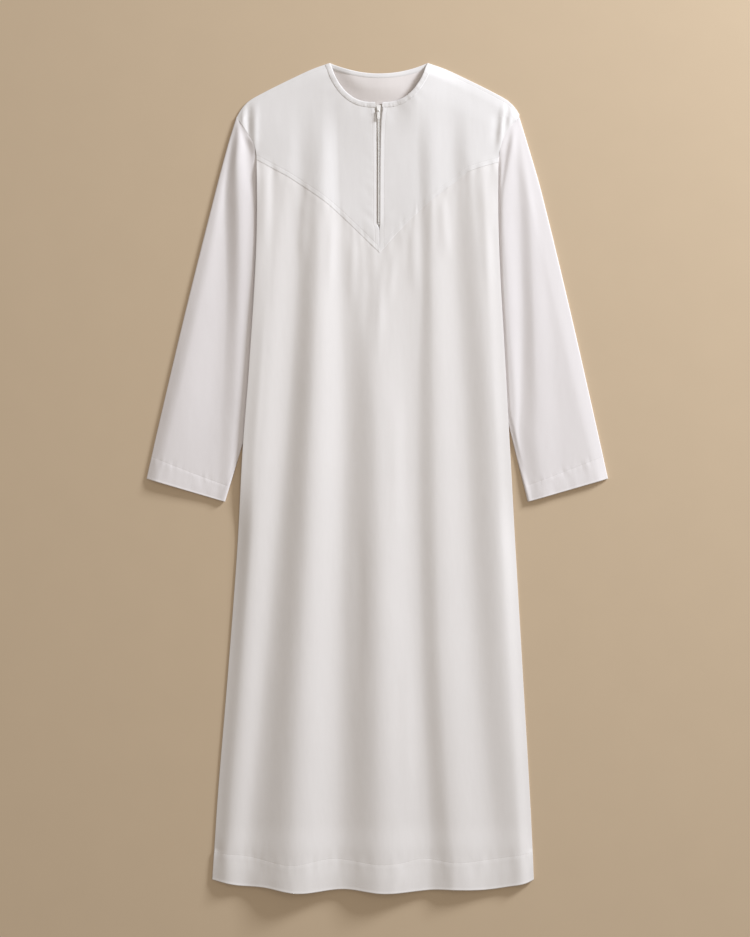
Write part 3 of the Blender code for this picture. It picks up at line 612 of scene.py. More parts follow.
def crease(row, x, y):
    """Height of one soft crease at a place: full along its middle, fading at its ends and sides."""
    start_x, start_y, end_x, end_y, height, width = row
    run_x, run_y = end_x - start_x, end_y - start_y
    square = run_x * run_x + run_y * run_y
    along = ((x - start_x) * run_x + (y - start_y) * run_y) / square
    if not CREASE_START[0] < along < CREASE_END[1]:
        return 0.0
    away = ((x - start_x) * run_y - (y - start_y) * run_x) / math.sqrt(square)
    if abs(away) > 3.0 * width:
        return 0.0
    fade = ease(along, *CREASE_START) * (1.0 - ease(along, *CREASE_END))
    return height * fade * math.exp(-(away / width) ** 2)


def body_folds(x, y):
    """Height of the body's folds above the resting front, from crest to valley to crest."""
    left, right = side_edge(-1, y), side_edge(1, y)
    tall = 1.0 - ease(y, *EDGE_FADE)
    stops = [(left, blend(EDGE_REST[-1], EDGE_FOLD[-1], tall))]
    stops += [(look_up(line, y, 1), look_up(line, y, 2)) for line in BODY_LINES]
    stops.append((right, blend(EDGE_REST[1], EDGE_FOLD[1], ease(y, *EDGE_LOW) * tall)))
    height = 0.0
    for low, high in zip(stops, stops[1:]):
        if x <= high[0]:
            height = blend(low[1], high[1], ease(x, low[0], high[0]))
            break
    height *= 1.0 - ease(y, *FOLDS_END)
    return height * cloth_settings().fold_scale


def body_creases(x, y):
    """Height of the lesser creases over the body."""
    return sum(crease(row, x, y) for row in BODY_CREASES)


def hem_wall(y):
    """Wall to allow for under the front: thicker in and just above the turned-up hem."""
    return blend(FRAME_HEM_WALL, WALL, ease(y, HEM_LEVEL + HEM_DEPTH, HEM_LEVEL + 2.0 * HEM_DEPTH))


def neck_lift(x, y):
    """Rise of the front round the middle of its neckline."""
    reach = math.hypot(x - NECK_CENTRE_X, y - FRONT_NECK[0][1]) / NECK_LIFT_RADIUS
    return NECK_LIFT * math.exp(-reach ** 2)


def roll(distance, radius):
    """Soft rise from an edge, 0 on it and 1 a radius inside."""
    return math.sin(math.pi * 0.5 * min(1.0, max(0.0, distance / radius)))


def pucker(along, away, spacing, reach, seed):
    """Uneven small puckers across a seam: along it, and fading away from it."""
    if abs(away) > 3.0 * reach:
        return 0.0
    wave = noise.noise(Vector((along / spacing, away / (4.0 * reach), seed)))
    finer = Vector((PUCKER_DETAIL * along / spacing, away / (2.0 * reach), seed + PUCKER_SHIFT))
    wave += 0.5 * noise.noise(finer)
    return wave * math.exp(-(away / reach) ** 2)


def front_height(x, y):
    """Outer surface of the front over the whole body, without seams."""
    shell = cloth_settings().shell
    base = back_base(x, y)
    loft = blend(BODY_LOFT, YOKE_LOFT, ease(y, *YOKE_LOFT_Y))
    below = (shoulder_edge(x) - y) * SHOULDER_COSINE
    loft *= blend(SHOULDER_LOFT, 1.0, ease(below, 0.0, SHOULDER_LOFT_REACH))
    full = front_base(x, y) + 2.0 * hem_wall(y) + GAP + loft + body_folds(x, y) + body_creases(x, y)
    full += neck_lift(x, y)
    beside = math.hypot(x - NECK_CENTRE_X, (y - NECK_POINT_Y) * NECK_STRETCH)
    stand = NECK_STAND[-1 if x < NECK_CENTRE_X else 1] * ease(abs(x - NECK_CENTRE_X), *STAND_ACROSS)
    width = STAND_INSIDE if beside < STAND_RING else STAND_OUTSIDE
    full += stand * math.exp(-((beside - STAND_RING) / width) ** 2)
    if y < HEM_LEVEL + HEM_DEPTH:
        shell = cloth_settings().hem_shell
    rim = base + 2.0 * shell + RIM_GAP
    side = -1 if x < 0.0 else 1
    rolled = roll(side * (side_edge(side, y) - x), SIDE_ROLL)
    rolled = blend(rolled, 1.0, ease(y, *ROLL_END))
    rolled *= roll(below, SHOULDER_ROLL)
    return rim + (full - rim) * rolled


def seam_edge(x):
    """Yoke seam over a place across the garment: a smooth curve on each side of its point."""
    return look_up(YOKE_SEAM[:POINT_ROW + 1] if x < POINT_X else YOKE_SEAM[POINT_ROW:], x)


def seam_slope(x):
    """Yoke seam's fall across the garment."""
    step = 0.004
    return (seam_edge(x + step) - seam_edge(x - step)) / (2.0 * step)


def above_seam(x, y):
    """Distance above the yoke seam, square to it."""
    return (y - seam_edge(x)) / math.hypot(1.0, seam_slope(x))


def seam_puckers(x, y):
    """Gathers and puckers that run down from the yoke seam."""
    away = above_seam(x, y)
    height = cloth_settings().pucker
    small = pucker(x, away, *SEAM_PUCKERS, SEEDS["seam"])
    gathers = noise.noise(Vector((x / SEAM_GATHERS[0], y / SEAM_GATHERS[1], SEEDS["gathers"])))
    gathers *= ease(away, *GATHERS_GROW) * (1.0 - ease(away, *GATHERS_STOP))
    return height * (SEAM_SHARES[0] * small + SEAM_SHARES[1] * gathers)


def zip_puckers(x, y):
    """Small slanting puckers beside the zip, stronger towards its foot."""
    away = abs(x - ZIP_X)
    strength = ease(away, *ZIP_WAVES_START) * (1.0 - ease(away, *ZIP_WAVES_STOP))
    strength *= 1.0 - ease(y, *ZIP_WAVES_TOP)
    strength *= blend(1.0, ZIP_WAVES_REST, ease(y, *ZIP_WAVES_FADE))
    slant = (y - ZIP_SLANT * away) / ZIP_WAVES[0]
    seed = SEEDS["zip_right"] if x > ZIP_X else SEEDS["zip_left"]
    wave = noise.noise(Vector((slant, seed, away / ZIP_WAVES[1])))
    return ZIP_SHARE * cloth_settings().pucker * strength * wave


def neck_puckers(x, y):
    """Short puckers that fan out from the neck binding."""
    out = math.hypot(x - NECK_CENTRE_X, (y - NECK_POINT_Y) * NECK_STRETCH)
    turn = math.atan2(x - NECK_CENTRE_X, NECK_POINT_Y - y)
    wave = noise.noise(Vector((turn / NECK_WAVES[0], out / NECK_WAVES[1], SEEDS["neck"])))
    return NECK_SHARE * cloth_settings().pucker * wave * (1.0 - ease(out, *NECK_WAVES_STOP))


def turned_up(below, edge):
    """Rise of a turned-up band below its stitching, and of the pressed edge at its foot."""
    rise = HEM_STEP * ease(below, *HEM_STEP_REACH) + HEM_SPREAD * ease(below, *HEM_SPREAD_REACH)
    return rise + HEM_CURL * (1.0 - ease(edge, *HEM_CURL_REACH))


def hem_puckers(x, y):
    """Puckers between the hem's edge and just above its stitching."""
    away = y - look_up(HEM_STITCH, x)
    height = cloth_settings().pucker
    small = pucker(x, away, *HEM_PUCKERS, SEEDS["hem"])
    band = noise.noise(Vector((x / HEM_WAVES[0], away / HEM_WAVES[1], SEEDS["hem_band"])))
    band *= 1.0 - ease(away, *HEM_WAVES_STOP)
    rise = height * (HEM_SHARES[0] * small + HEM_SHARES[1] * band)
    return rise + turned_up(-away, y - look_up(HEM_EDGE, x))


def skirt_height(x, y):
    """Outer surface of the lower front, ducking under the yoke at the seam."""
    height = front_height(x, y) + seam_puckers(x, y) + hem_puckers(x, y)
    away = above_seam(x, y)
    return height - SEAM_DUCK * ease(away, *SEAM_DUCK_REACH)


def yoke_height(side, x, y, centre_gap, edge):
    """Outer surface of an upper front: lapped over the lower front, its edges folded under."""
    away = above_seam(x, y)
    height = front_height(x, y) + seam_puckers(x, y) + zip_puckers(x, y) + neck_puckers(x, y)
    flat = ease(x, *LAP_FLAT_X)
    height += blend(LAP_LIFT, LAP_FLAT_LIFT, flat) * (1.0 - ease(away, *LAP_REACH))
    height -= blend(LAP_FOLD, LAP_FLAT_FOLD, flat) * (1.0 - roll(edge, LAP_EDGE))
    open_zip = ease(y, *OPENING)
    height -= blend(*CENTRE_FOLD, open_zip) * (1.0 - roll(centre_gap, LAP_EDGE))
    tilt = PLACKET_RISE if side > 0 else -PLACKET_FALL
    tilt *= blend(1.0, PLACKET_TOP_SHARE, ease(y, *PLACKET_TOP))
    height += tilt * max(0.0, 1.0 - centre_gap / PLACKET_REACH) * open_zip
    return height


def sleeve_height(side, x, y):
    """Outer height of a sleeve's top sheet: its folds, thin beside the body, and up to the armhole seam."""
    body = side_edge(side, y)
    stops = [(look_up(line, y, 1), look_up(line, y, 2)) for line in SLEEVE_LINES[side]]
    stops.insert(0, (look_up(SLEEVE_OUTER, y, side_column(side)), stops[0][1]))
    height = stops[-1][1]
    for outer, inner in zip(stops, stops[1:]):
        if side * (x - inner[0]) >= 0.0:
            height = blend(inner[1], outer[1], ease(side * (x - inner[0]), 0.0, side * (outer[0] - inner[0])))
            break
    away = side * (x - body)
    joined = ease(y, *JOIN_Y) * (1.0 - ease(away, 0.0, JOIN_REACH))
    if joined > 0.0:
        height = blend(height, front_height(body, y) - JOIN_DROP, joined)
    open_share = ease(away - BODY_CLEAR, 0.0, BODY_RISE)
    open_share = blend(open_share, 1.0, ease(y, *JOIN_Y))
    open_share = blend(1.0, open_share, ease(y, *SLEEVE_THIN))
    return blend(SLEEVE_TUCK, height, open_share)


def cloth_settings():
    """Cloth sizes and colours."""
    return bpy.context.scene.robe_cloth


def zip_settings():
    """Zip sizes and colours."""
    return bpy.context.scene.robe_zip


def sewing_settings():
    """Sewing sizes and colours."""
    return bpy.context.scene.robe_sewing


def add_node(tree, kind, inputs=None, **settings):
    """Add one node to a material with its settings, socket values and links."""
    node = tree.nodes.new(kind)
    for key, value in settings.items():
        setattr(node, key, value)
    for socket, value in (inputs or {}).items():
        if isinstance(value, bpy.types.NodeSocket):
            tree.links.new(value, node.inputs[socket])
        else:
            node.inputs[socket].default_value = value
    return node


def new_material(name):
    """Named material with its tree and shader."""
    made = bpy.data.materials.new(name)
    made.use_nodes = True
    tree = made.node_tree
    return made, tree, tree.nodes["Principled BSDF"]


# A band texture repeats every 2 pi / 20 of its scaled coordinate
BAND_PERIOD = math.pi / 10.0
FAR_FROM_SEAM = 1.0
# Distances from a sewn line over which it sinks and is darkened as painted shade
GROOVE_AND_PAINTED_SHADE = (0.0002, 0.0014)


def darker(base, share):
    """Shade of a colour, the given share of its light."""
    return tuple(part * share for part in base)


def woven_material(name, base, spacing=None, roughness=0.86, sheen=0.18):
    """Plain-woven polyester and cotton shirting, pressed: matt, with a faint soft sheen.

    Its threads are far finer than the eye can part at arm's length, so they are drawn at about twice
    their real spacing and very low. Sewn lines sink a little, from the piece's seams attribute, and carry
    a painted shade, a little darker along them.
    """
    made, tree, shader = new_material(name)
    spacing = spacing or cloth_settings().thread_spacing
    cut = add_node(tree, "ShaderNodeUVMap", uv_map="cut").outputs["UV"]
    place = add_node(tree, "ShaderNodeTexCoord").outputs["Object"]
    bands = []
    for direction in ("X", "Y"):
        wave = add_node(tree, "ShaderNodeTexWave", {"Vector": cut, "Scale": BAND_PERIOD / spacing},
                        wave_type="BANDS", bands_direction=direction)
        bands.append(wave.outputs["Fac"])
    threads = add_node(tree, "ShaderNodeMath", {0: bands[0], 1: bands[1]}, operation="ADD")
    weave = add_node(tree, "ShaderNodeBump", {"Height": threads.outputs[0], "Strength": 0.35,
                                              "Distance": 0.00006})
    # Slubs and slight unevenness left after pressing, longer down the cloth than across
    stretched = add_node(tree, "ShaderNodeMapping", {"Vector": place, "Scale": (1.0, 0.28, 1.0)})
    uneven = add_node(tree, "ShaderNodeTexNoise", {"Vector": stretched.outputs[0], "Scale": 55.0,
                                                   "Detail": 2.0, "Roughness": 0.5})
    drape = add_node(tree, "ShaderNodeBump", {"Height": uneven.outputs["Fac"], "Strength": 0.4,
                                              "Distance": 0.0007, "Normal": weave.outputs[0]})
    seams = add_node(tree, "ShaderNodeAttribute", attribute_name="seams").outputs["Vector"]
    size = add_node(tree, "ShaderNodeVectorMath", {0: seams}, operation="ABSOLUTE")
    parts = add_node(tree, "ShaderNodeSeparateXYZ", {0: size.outputs[0]})
    first = add_node(tree, "ShaderNodeMath", {0: parts.outputs[0], 1: parts.outputs[1]}, operation="MINIMUM")
    nearest = add_node(tree, "ShaderNodeMath", {0: first.outputs[0], 1: parts.outputs[2]},
                       operation="MINIMUM")
    groove_and_painted_shade = add_node(tree, "ShaderNodeMapRange", {"Value": nearest.outputs[0], "From Min": GROOVE_AND_PAINTED_SHADE[0],
                                                   "From Max": GROOVE_AND_PAINTED_SHADE[1]}, interpolation_type="SMOOTHSTEP")
    sunk = add_node(tree, "ShaderNodeBump", {"Height": groove_and_painted_shade.outputs[0], "Strength": 0.5,
                                             "Distance": 0.0002, "Normal": drape.outputs[0]})
    # Slight unevenness of the white, and painted shade: the sewn lines a little darker where they sink
    cloud = add_node(tree, "ShaderNodeTexNoise", {"Vector": place, "Scale": 9.0, "Detail": 3.0})
    shade = add_node(tree, "ShaderNodeMixRGB", {"Fac": cloud.outputs["Fac"],
                                                "Color1": (*darker(base, 0.955), 1.0),
                                                "Color2": (*base, 1.0)})
    # Painted shade: the sewn lines' colour darkened to 0.97 of the base where they sink
    tint = add_node(tree, "ShaderNodeMixRGB", {"Fac": groove_and_painted_shade.outputs[0],
                                               "Color1": (*darker(base, 0.97), 1.0),
                                               "Color2": shade.outputs[0]})
    tree.links.new(tint.outputs[0], shader.inputs["Base Color"])
    tree.links.new(sunk.outputs[0], shader.inputs["Normal"])
    shader.inputs["Roughness"].default_value = roughness
    shader.inputs["Specular IOR Level"].default_value = 0.3
    shader.inputs["Sheen Weight"].default_value = sheen
    shader.inputs["Sheen Roughness"].default_value = 0.5
    return made


def dress(part, body, slot, *nodes):
    """Set a finished piece on its body, in place of its solids. Its slot is not used."""
    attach(part, body)
    if nodes:
        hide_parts(*nodes)
    return part


def add_object(name, shape, finish, smooth=True):
    """Put a finished bmesh into the scene as one named object."""
    mesh = bpy.data.meshes.new(name)
    shape.to_mesh(mesh)
    shape.free()
    mesh.materials.append(finish)
    if smooth:
        mesh.shade_smooth()
    part = bpy.data.objects.new(name, mesh)
    bpy.context.collection.objects.link(part)
    return part


def cloth(name, columns, rows, place, cut, finish, lines=None, band=None, wall=None, closed=False):
    """Sheet of cloth from its outer surface: place(column, row) gives a point, the wall goes inwards.

    cut(column, row) is the place on the flat cut, for the weave. lines(column, row) gives up to three
    distances from sewn lines. band(row) is true for rows in a turned-up hem.
    """
    settings = cloth_settings()
    shape = bmesh.new()
    bmesh.ops.create_grid(shape, x_segments=columns, y_segments=rows, size=0.5)
    seams = shape.verts.layers.float_vector.new("seams")
    weights = shape.verts.layers.deform.verify()
    threads = shape.loops.layers.uv.new("cut")
    shares = {}
    for vertex in shape.verts:
        column = round((vertex.co.x + 0.5) * columns)
        row = round((vertex.co.y + 0.5) * rows)
        vertex.co = place(column, row)
        near = list(lines(column, row)) if lines else []
        vertex[seams] = (near + [FAR_FROM_SEAM] * 3)[:3]
        if band:
            vertex[weights][0] = 1.0 if band(row) else settings.shell / settings.hem_shell
        shares[vertex] = cut(column, row)
    for face in shape.faces:
        for loop in face.loops:
            loop[threads].uv = shares[loop.vert]
    if closed:
        bmesh.ops.remove_doubles(shape, verts=shape.verts, dist=0.00001)
        bmesh.ops.recalc_face_normals(shape, faces=shape.faces)
    else:
        shape.normal_update()
        if sum(face.normal.z * face.calc_area() for face in shape.faces) < 0.0:
            bmesh.ops.reverse_faces(shape, faces=shape.faces)
    part = add_object(name, shape, finish)
    solidify = part.modifiers.new("wall", "SOLIDIFY")
    solidify.thickness = wall or (settings.hem_shell if band else settings.shell)
    solidify.offset = -1.0
    solidify.use_even_offset = True
    if band:
        part.vertex_groups.new(name="wall")
        solidify.vertex_group = "wall"
    return part


def spread(low, high, steps):
    """Even shares between two ends, the first left out."""
    return [blend(low, high, step / steps) for step in range(1, steps + 1)]


# Columns of the lower front from its rolled side edge inwards, and its rows from the hem to the seam
EDGE_DISTANCES = (0.0, 0.0006, 0.0015, 0.0030, 0.0050, 0.0075, 0.0105, 0.0140, 0.0180)
HALF_WIDTH = 0.24
SKIRT_COLUMNS = 64
HEM_ROWS = (0.0, 0.0015, 0.003, 0.006, 0.010, 0.015, 0.020, 0.025, 0.030, 0.035, 0.040, 0.044, 0.047,
            0.050, 0.053, 0.057, 0.062, 0.068, 0.075, 0.082)
SEAM_ROWS = (0.100, 0.092, 0.084, 0.076, 0.069, 0.062, 0.055, 0.049, 0.043, 0.037, 0.032, 0.027, 0.022,
             0.018, 0.014, 0.011, 0.008, 0.005, 0.003, 0.001, -0.001, -0.004, -0.010)
SKIRT_ROWS = 135


def panel_rows(low, steps, high):
    """Rows of a panel: exact distances at both ends, and even shares between them."""
    rows = [("low", distance) for distance in low]
    rows += [("middle", (share, low[-1], high[0])) for share in spread(0.0, 1.0, steps)[:-1]]
    return rows + [("high", distance) for distance in high]


def row_place(rows, row, low_y, high_y):
    """Place along the garment of one of a panel's rows, between the panel's two ends."""
    kind, amount = rows[row]
    if kind == "low":
        return low_y + amount
    if kind == "high":
        return high_y - amount
    share, low_reach, high_reach = amount
    return blend(low_y + low_reach, high_y - high_reach, share)


def in_hem(rows, row):
    """Whether a panel's row lies in the turned-up hem."""
    return rows[row][0] == "low" and rows[row][1] <= HEM_DEPTH


def half_shares():
    """Shares from the side edge to the centre, close together on the rolled edge."""
    shares = [distance / HALF_WIDTH for distance in EDGE_DISTANCES]
    return shares + spread(shares[-1], 1.0, SKIRT_COLUMNS)


def front_skirt(finish):
    """Lower front, from the hem to under the V-shaped yoke."""
    columns = [(-1, share) for share in half_shares()]
    columns += [(1, share) for share in reversed(half_shares()[:-1])]
    rows = panel_rows(HEM_ROWS, SKIRT_ROWS, SEAM_ROWS)

    def plan(column, row):
        side, share = columns[column]
        hem_x = blend(side_edge(side, HEM_LEVEL), POINT_X, share)
        seam_x = blend(side_edge(side, YOKE_SEAM[0][1]), POINT_X, share)
        y = row_place(rows, row, look_up(HEM_EDGE, hem_x), seam_edge(seam_x))
        return blend(side_edge(side, y), POINT_X, share), y

    def place(column, row):
        x, y = plan(column, row)
        return Vector((x, y, skirt_height(x, y)))

    def lines(column, row):
        x, y = plan(column, row)
        return (y - look_up(HEM_STITCH, x),)

    return cloth("front_skirt_cloth", len(columns) - 1, len(rows) - 1, place, plan, finish,
                 lines=lines, band=lambda row: in_hem(rows, row))


# Columns of an upper front along its shoulder and neck, and its rows from the V seam to them
YOKE_TIP_SHARES = (0.0, 0.004, 0.010, 0.020, 0.034, 0.055)
YOKE_SHOULDER_STEPS = 40
YOKE_NECK_STEPS = 32
NECK_CLOSE = 0.11
NECK_CLOSE_SHARES = (0.080, 0.055, 0.038, 0.026, 0.018)
HEAD_SHARES = (0.35, 0.70, 1.0)
YOKE_LOW_ROWS = (0.0, 0.0007, 0.0016, 0.003, 0.0045, 0.006, 0.0075, 0.0085, 0.0095, 0.011, 0.013, 0.016)
YOKE_TOP_ROWS = (0.016, 0.012, 0.009, 0.0065, 0.0045, 0.003, 0.0018, 0.0009, 0.0)
YOKE_ROWS = 66
TOPSTITCH = 0.0080
SHOULDER_STITCH = 0.0060
# Where the columns take up the centre edge, and how near the neck the shoulder's stitching goes on
CENTRE_SQUARE = (0.90, 1.0)
NECK_CLEAR = 0.004


def neck_curve(share):
    """Front neckline: distance out from its centre and place along, 0 at the centre and 1 on the shoulder."""
    rows = [(index / (len(FRONT_NECK) - 1), row[0], row[1]) for index, row in enumerate(FRONT_NECK)]
    return look_up(rows, share, 1), look_up(rows, share, 2)


def yoke_tops(side):
    """Tops of an upper front's columns, from the armhole's tip along shoulder and neck to the centre."""
    tip = side_edge(side, SIDE_EDGES[-1][0])
    neck = NECK_CENTRE_X + side * FRONT_NECK[-1][0]
    tops = []
    for share in list(YOKE_TIP_SHARES) + spread(YOKE_TIP_SHARES[-1], 1.0, YOKE_SHOULDER_STEPS)[:-1]:
        x = blend(tip, neck, share)
        tops.append((x, shoulder_edge(x)))
    around = [1.0] + spread(1.0, NECK_CLOSE, YOKE_NECK_STEPS) + list(NECK_CLOSE_SHARES)
    for share in around:
        out, y = neck_curve(share)
        tops.append((NECK_CENTRE_X + side * out, y))
    near, head = Vector(tops[-1]), Vector((CENTRE_EDGES[-1][side_column(side)], CENTRE_EDGES[-1][0]))
    return tops + [tuple(near.lerp(head, share)) for share in HEAD_SHARES]


def yoke(name, side, finish):
    """Upper front on one side: armhole, shoulder, neckline, centre edge and V seam."""
    tops = yoke_tops(side)
    tip, head = tops[0][0], tops[-1][0]
    rows = panel_rows(YOKE_LOW_ROWS, YOKE_ROWS, YOKE_TOP_ROWS)
    armhole_foot = side_edge(side, YOKE_SEAM[0][1])
    centre_foot = CENTRE_EDGES[0][side_column(side)]

    def plan(column, row):
        top_x, top_y = tops[column]
        share = (top_x - tip) / (head - tip)
        low_x = blend(armhole_foot, centre_foot, share)
        low_y = seam_edge(low_x)
        y = row_place(rows, row, low_y, top_y)
        along = (y - low_y) / (top_y - low_y)
        x = blend(low_x, top_x, along)
        x += (side_edge(side, y) - blend(armhole_foot, tip, along)) * (1.0 - share) ** 4
        x += (centre_edge(side, y) - blend(centre_foot, head, along)) * ease(share, *CENTRE_SQUARE)
        return x, y

    def place(column, row):
        x, y = plan(column, row)
        gap = abs(x - centre_edge(side, y))
        edge = rows[row][1] if rows[row][0] == "low" else LAP_EDGE
        return Vector((x, y, yoke_height(side, x, y, gap, edge)))

    def lines(column, row):
        x, y = plan(column, row)
        placket = abs(x - centre_edge(side, y)) - PLACKET_STITCH
        shoulder = (shoulder_edge(x) - y) * SHOULDER_COSINE - SHOULDER_STITCH
        if abs(x - NECK_CENTRE_X) < FRONT_NECK[-1][0] - NECK_CLEAR:
            shoulder = FAR_FROM_SEAM
        return above_seam(x, y) - TOPSTITCH, shoulder, placket

    return cloth(name, len(tops) - 1, len(rows) - 1, place, plan, finish, lines=lines)


# Faint centre back line inside the neck: place across, low end, softness
BACK_SEAM_X = 0.0060
BACK_SEAM_LOW = 0.560
BACK_SEAM_SOFT = 0.0009
BACK_SHOULDER_STEPS = 30
BACK_NECK_STEPS = 36
BACK_ROWS = 96
BACK_TOP_ROWS = (0.030, 0.022, 0.016, 0.011, 0.007, 0.004, 0.002, 0.0)


def back_panel(finish):
    """Back, cut in one from hem to shoulders and back neckline."""
    tips = [side_edge(side, SIDE_EDGES[-1][0]) for side in (-1, 1)]
    top_xs = [tips[0]] + spread(tips[0], NECK_POINT_X[-1], BACK_SHOULDER_STEPS)
    top_xs += spread(NECK_POINT_X[-1], NECK_POINT_X[1], BACK_NECK_STEPS)
    top_xs += spread(NECK_POINT_X[1], tips[1], BACK_SHOULDER_STEPS)
    rows = panel_rows(HEM_ROWS, BACK_ROWS, BACK_TOP_ROWS)
    hem_left, hem_right = side_edge(-1, HEM_LEVEL), side_edge(1, HEM_LEVEL)

    def plan(column, row):
        top_x = top_xs[column]
        share = (top_x - tips[0]) / (tips[1] - tips[0])
        in_neck = BACK_SHOULDER_STEPS < column < BACK_SHOULDER_STEPS + BACK_NECK_STEPS
        top_y = back_neck_edge(top_x) if in_neck else shoulder_edge(top_x)
        hem_y = look_up(HEM_EDGE, blend(hem_left, hem_right, share))
        y = row_place(rows, row, hem_y, top_y)
        return blend(side_edge(-1, y), side_edge(1, y), share), y

    def place(column, row):
        x, y = plan(column, row)
        wall = cloth_settings().hem_shell if in_hem(rows, row) else cloth_settings().shell
        return Vector((x, y, back_level(x, y) + wall))

    def lines(column, row):
        x, y = plan(column, row)
        centre = abs(x - BACK_SEAM_X) + BACK_SEAM_SOFT if y > BACK_SEAM_LOW else FAR_FROM_SEAM
        return y - look_up(HEM_STITCH, x), centre

    return cloth("back_cloth", len(top_xs) - 1, len(rows) - 1, place, plan, finish, lines=lines,
                 band=lambda row: in_hem(rows, row))


SLEEVE_ROWS = 118
SLEEVE_LENGTH = 0.68
CUFF_ROWS = (0.0, 0.0015, 0.003, 0.006, 0.010, 0.015, 0.020, 0.026, 0.031, 0.035, 0.038, 0.0406, 0.043,
             0.046, 0.050, 0.055, 0.061, 0.068)
ARMHOLE_ROWS = (0.0042, 0.0026, 0.0014, 0.0006, 0.0002, 0.0)
# Points of a ring: along its underside, its top, and round each of its two folds
BOTTOM_POINTS = 16
TOP_POINTS = 78
ARC_POINTS = 8
# How far in the top takes to reach its height, and the inner fold's height at the cuff
OUTER_REACH = 0.022
INNER_REACH = 0.010
CUFF_INNER_FOLD = 0.0064


def sleeve_plan(side, share, row_share):
    """Place seen from above: share across from the outer edge, row_share along from the cuff."""
    column = side_column(side)
    foot_y, tip_y = SLEEVE_OUTER[0][0], SLEEVE_OUTER[-1][0]

    def outer(along):
        y = blend(foot_y, tip_y, along)
        return Vector((look_up(SLEEVE_OUTER, y, column), y))

    inner_foot = Vector(CUFF_INNER[side])
    inner = inner_foot.lerp(Vector(UNDERARM[side]), row_share)
    cuff = outer(0.0).lerp(inner_foot, share)
    end = Vector((look_up(ARMHOLE, share, column + 1), look_up(ARMHOLE, share)))
    tip, underarm = outer(1.0), Vector(UNDERARM[side])
    across = outer(row_share).lerp(inner, share)
    along = cuff.lerp(end, row_share)
    corners = outer(0.0).lerp(inner_foot, share).lerp(tip.lerp(underarm, share), row_share)
    return across + along - corners


def sleeve_ring(side, row_share):
    """Closed ring of points round the flattened sleeve, from the outer fold under to the inner one."""
    outer_edge, inner_edge = sleeve_plan(side, 0.0, row_share), sleeve_plan(side, 1.0, row_share)
    width = (outer_edge - inner_edge).length
    inner_fold = blend(CUFF_INNER_FOLD, SLEEVE_TUCK, ease(inner_edge.y, *SLEEVE_THIN))
    outer_arc, inner_arc = OUTER_FOLD * 0.5, inner_fold * 0.5
    low, high = outer_arc / width, 1.0 - inner_arc / width
    distance = row_share * SLEEVE_LENGTH
    ring = []
    for step in range(BOTTOM_POINTS + 1):
        ring.append((blend(high, low, step / BOTTOM_POINTS), 0.0))
    for step in range(1, ARC_POINTS):
        turn = math.pi * step / ARC_POINTS
        ring.append((low * (1.0 - math.sin(turn)), outer_arc * (1.0 - math.cos(turn))))
    for step in range(TOP_POINTS + 1):
        share = blend(low, high, step / TOP_POINTS)
        place = sleeve_plan(side, share, row_share)
        height = sleeve_height(side, place.x, place.y) + cuff_puckers(share * width, distance, side)
        height = blend(OUTER_FOLD, height, roll(share * width - outer_arc, OUTER_REACH))
        height = blend(inner_fold, height, ease((1.0 - share) * width, inner_arc, INNER_REACH))
        ring.append((share, height))
    for step in range(1, ARC_POINTS):
        turn = math.pi * step / ARC_POINTS
        out = inner_arc / width * (1.0 - math.sin(turn))
        ring.append((1.0 - out, inner_arc * (1.0 + math.cos(turn))))
    points = []
    for share, height in ring:
        place = sleeve_plan(side, share, row_share)
        points.append(Vector((place.x, place.y, height)))
    return points


def cuff_puckers(across, distance, side):
    """Puckers along the cuff's stitching and down its turned-up band."""
    away = distance - CUFF_DEPTH
    small = pucker(across, away, *CUFF_PUCKERS, SEEDS["cuff"] + side)
    band = noise.noise(Vector((across / CUFF_WAVES[0], away / CUFF_WAVES[1], SEEDS["cuff_band"] + side)))
    band *= 1.0 - ease(away, *CUFF_WAVES_STOP)
    rise = cloth_settings().pucker * (CUFF_SHARES[0] * small + CUFF_SHARES[1] * band)
    return rise + turned_up(-away, distance)


def sleeve(name, side, finish):
    """Sleeve cut in one piece, sewn to a tube and lying flat, with its cuff turned up."""
    rows = [distance / SLEEVE_LENGTH for distance in CUFF_ROWS]
    rows += spread(rows[-1], 1.0 - ARMHOLE_ROWS[0] / SLEEVE_LENGTH, SLEEVE_ROWS)
    rows += [1.0 - distance / SLEEVE_LENGTH for distance in ARMHOLE_ROWS[1:]]
    rings = [sleeve_ring(side, share) for share in rows]
    count = len(rings[0])
    rounds = [0.0]
    for at in range(count):
        rounds.append(rounds[-1] + (rings[0][(at + 1) % count] - rings[0][at]).length)

    def place(column, row):
        return rings[row][column % count]

    def cut(column, row):
        return rounds[column], rows[row] * SLEEVE_LENGTH

    def lines(column, row):
        return (rows[row] * SLEEVE_LENGTH - CUFF_DEPTH,)

    def band(row):
        return rows[row] * SLEEVE_LENGTH <= CUFF_DEPTH

    return cloth(name, count, len(rows) - 1, place, cut, finish, lines=lines, band=band, closed=True)


# Section of the binding round a neck edge: distance away from the edge over the cloth, rise over it
BINDING_SECTION = (
    (0.0088, 0.0001),
    (0.0084, 0.0004),
    (0.0070, 0.0005),
    (0.0050, 0.0005),
    (0.0030, 0.0006),
    (0.0014, 0.0006),
    (0.0003, 0.0005),
    (-0.0004, 0.0002),
    (-0.0006, -0.0002),
    (-0.0004, -0.0007),
)
BINDING_STEPS = 110
BINDING_WALL = 0.0005
BINDING_STITCH = 0.0068
# Share of a front binding's length that is squared to the centre front
BINDING_SQUARE = 0.10
# Waves of a front binding, in columns and rows, and where they start from its neck edge
BINDING_WAVES = (2.1, 6.0)
BINDING_WAVES_START = (0.001, 0.004)
# Outer edge of the back binding sinks towards the cloth over this reach
BINDING_SINK = 0.0007
BINDING_FADE = (0.0070, 0.0088)
# Weave's step along and across one cell of a binding
FRONT_WEAVE = (0.0014, 0.0015)
BACK_WEAVE = (0.0016, 0.0015)


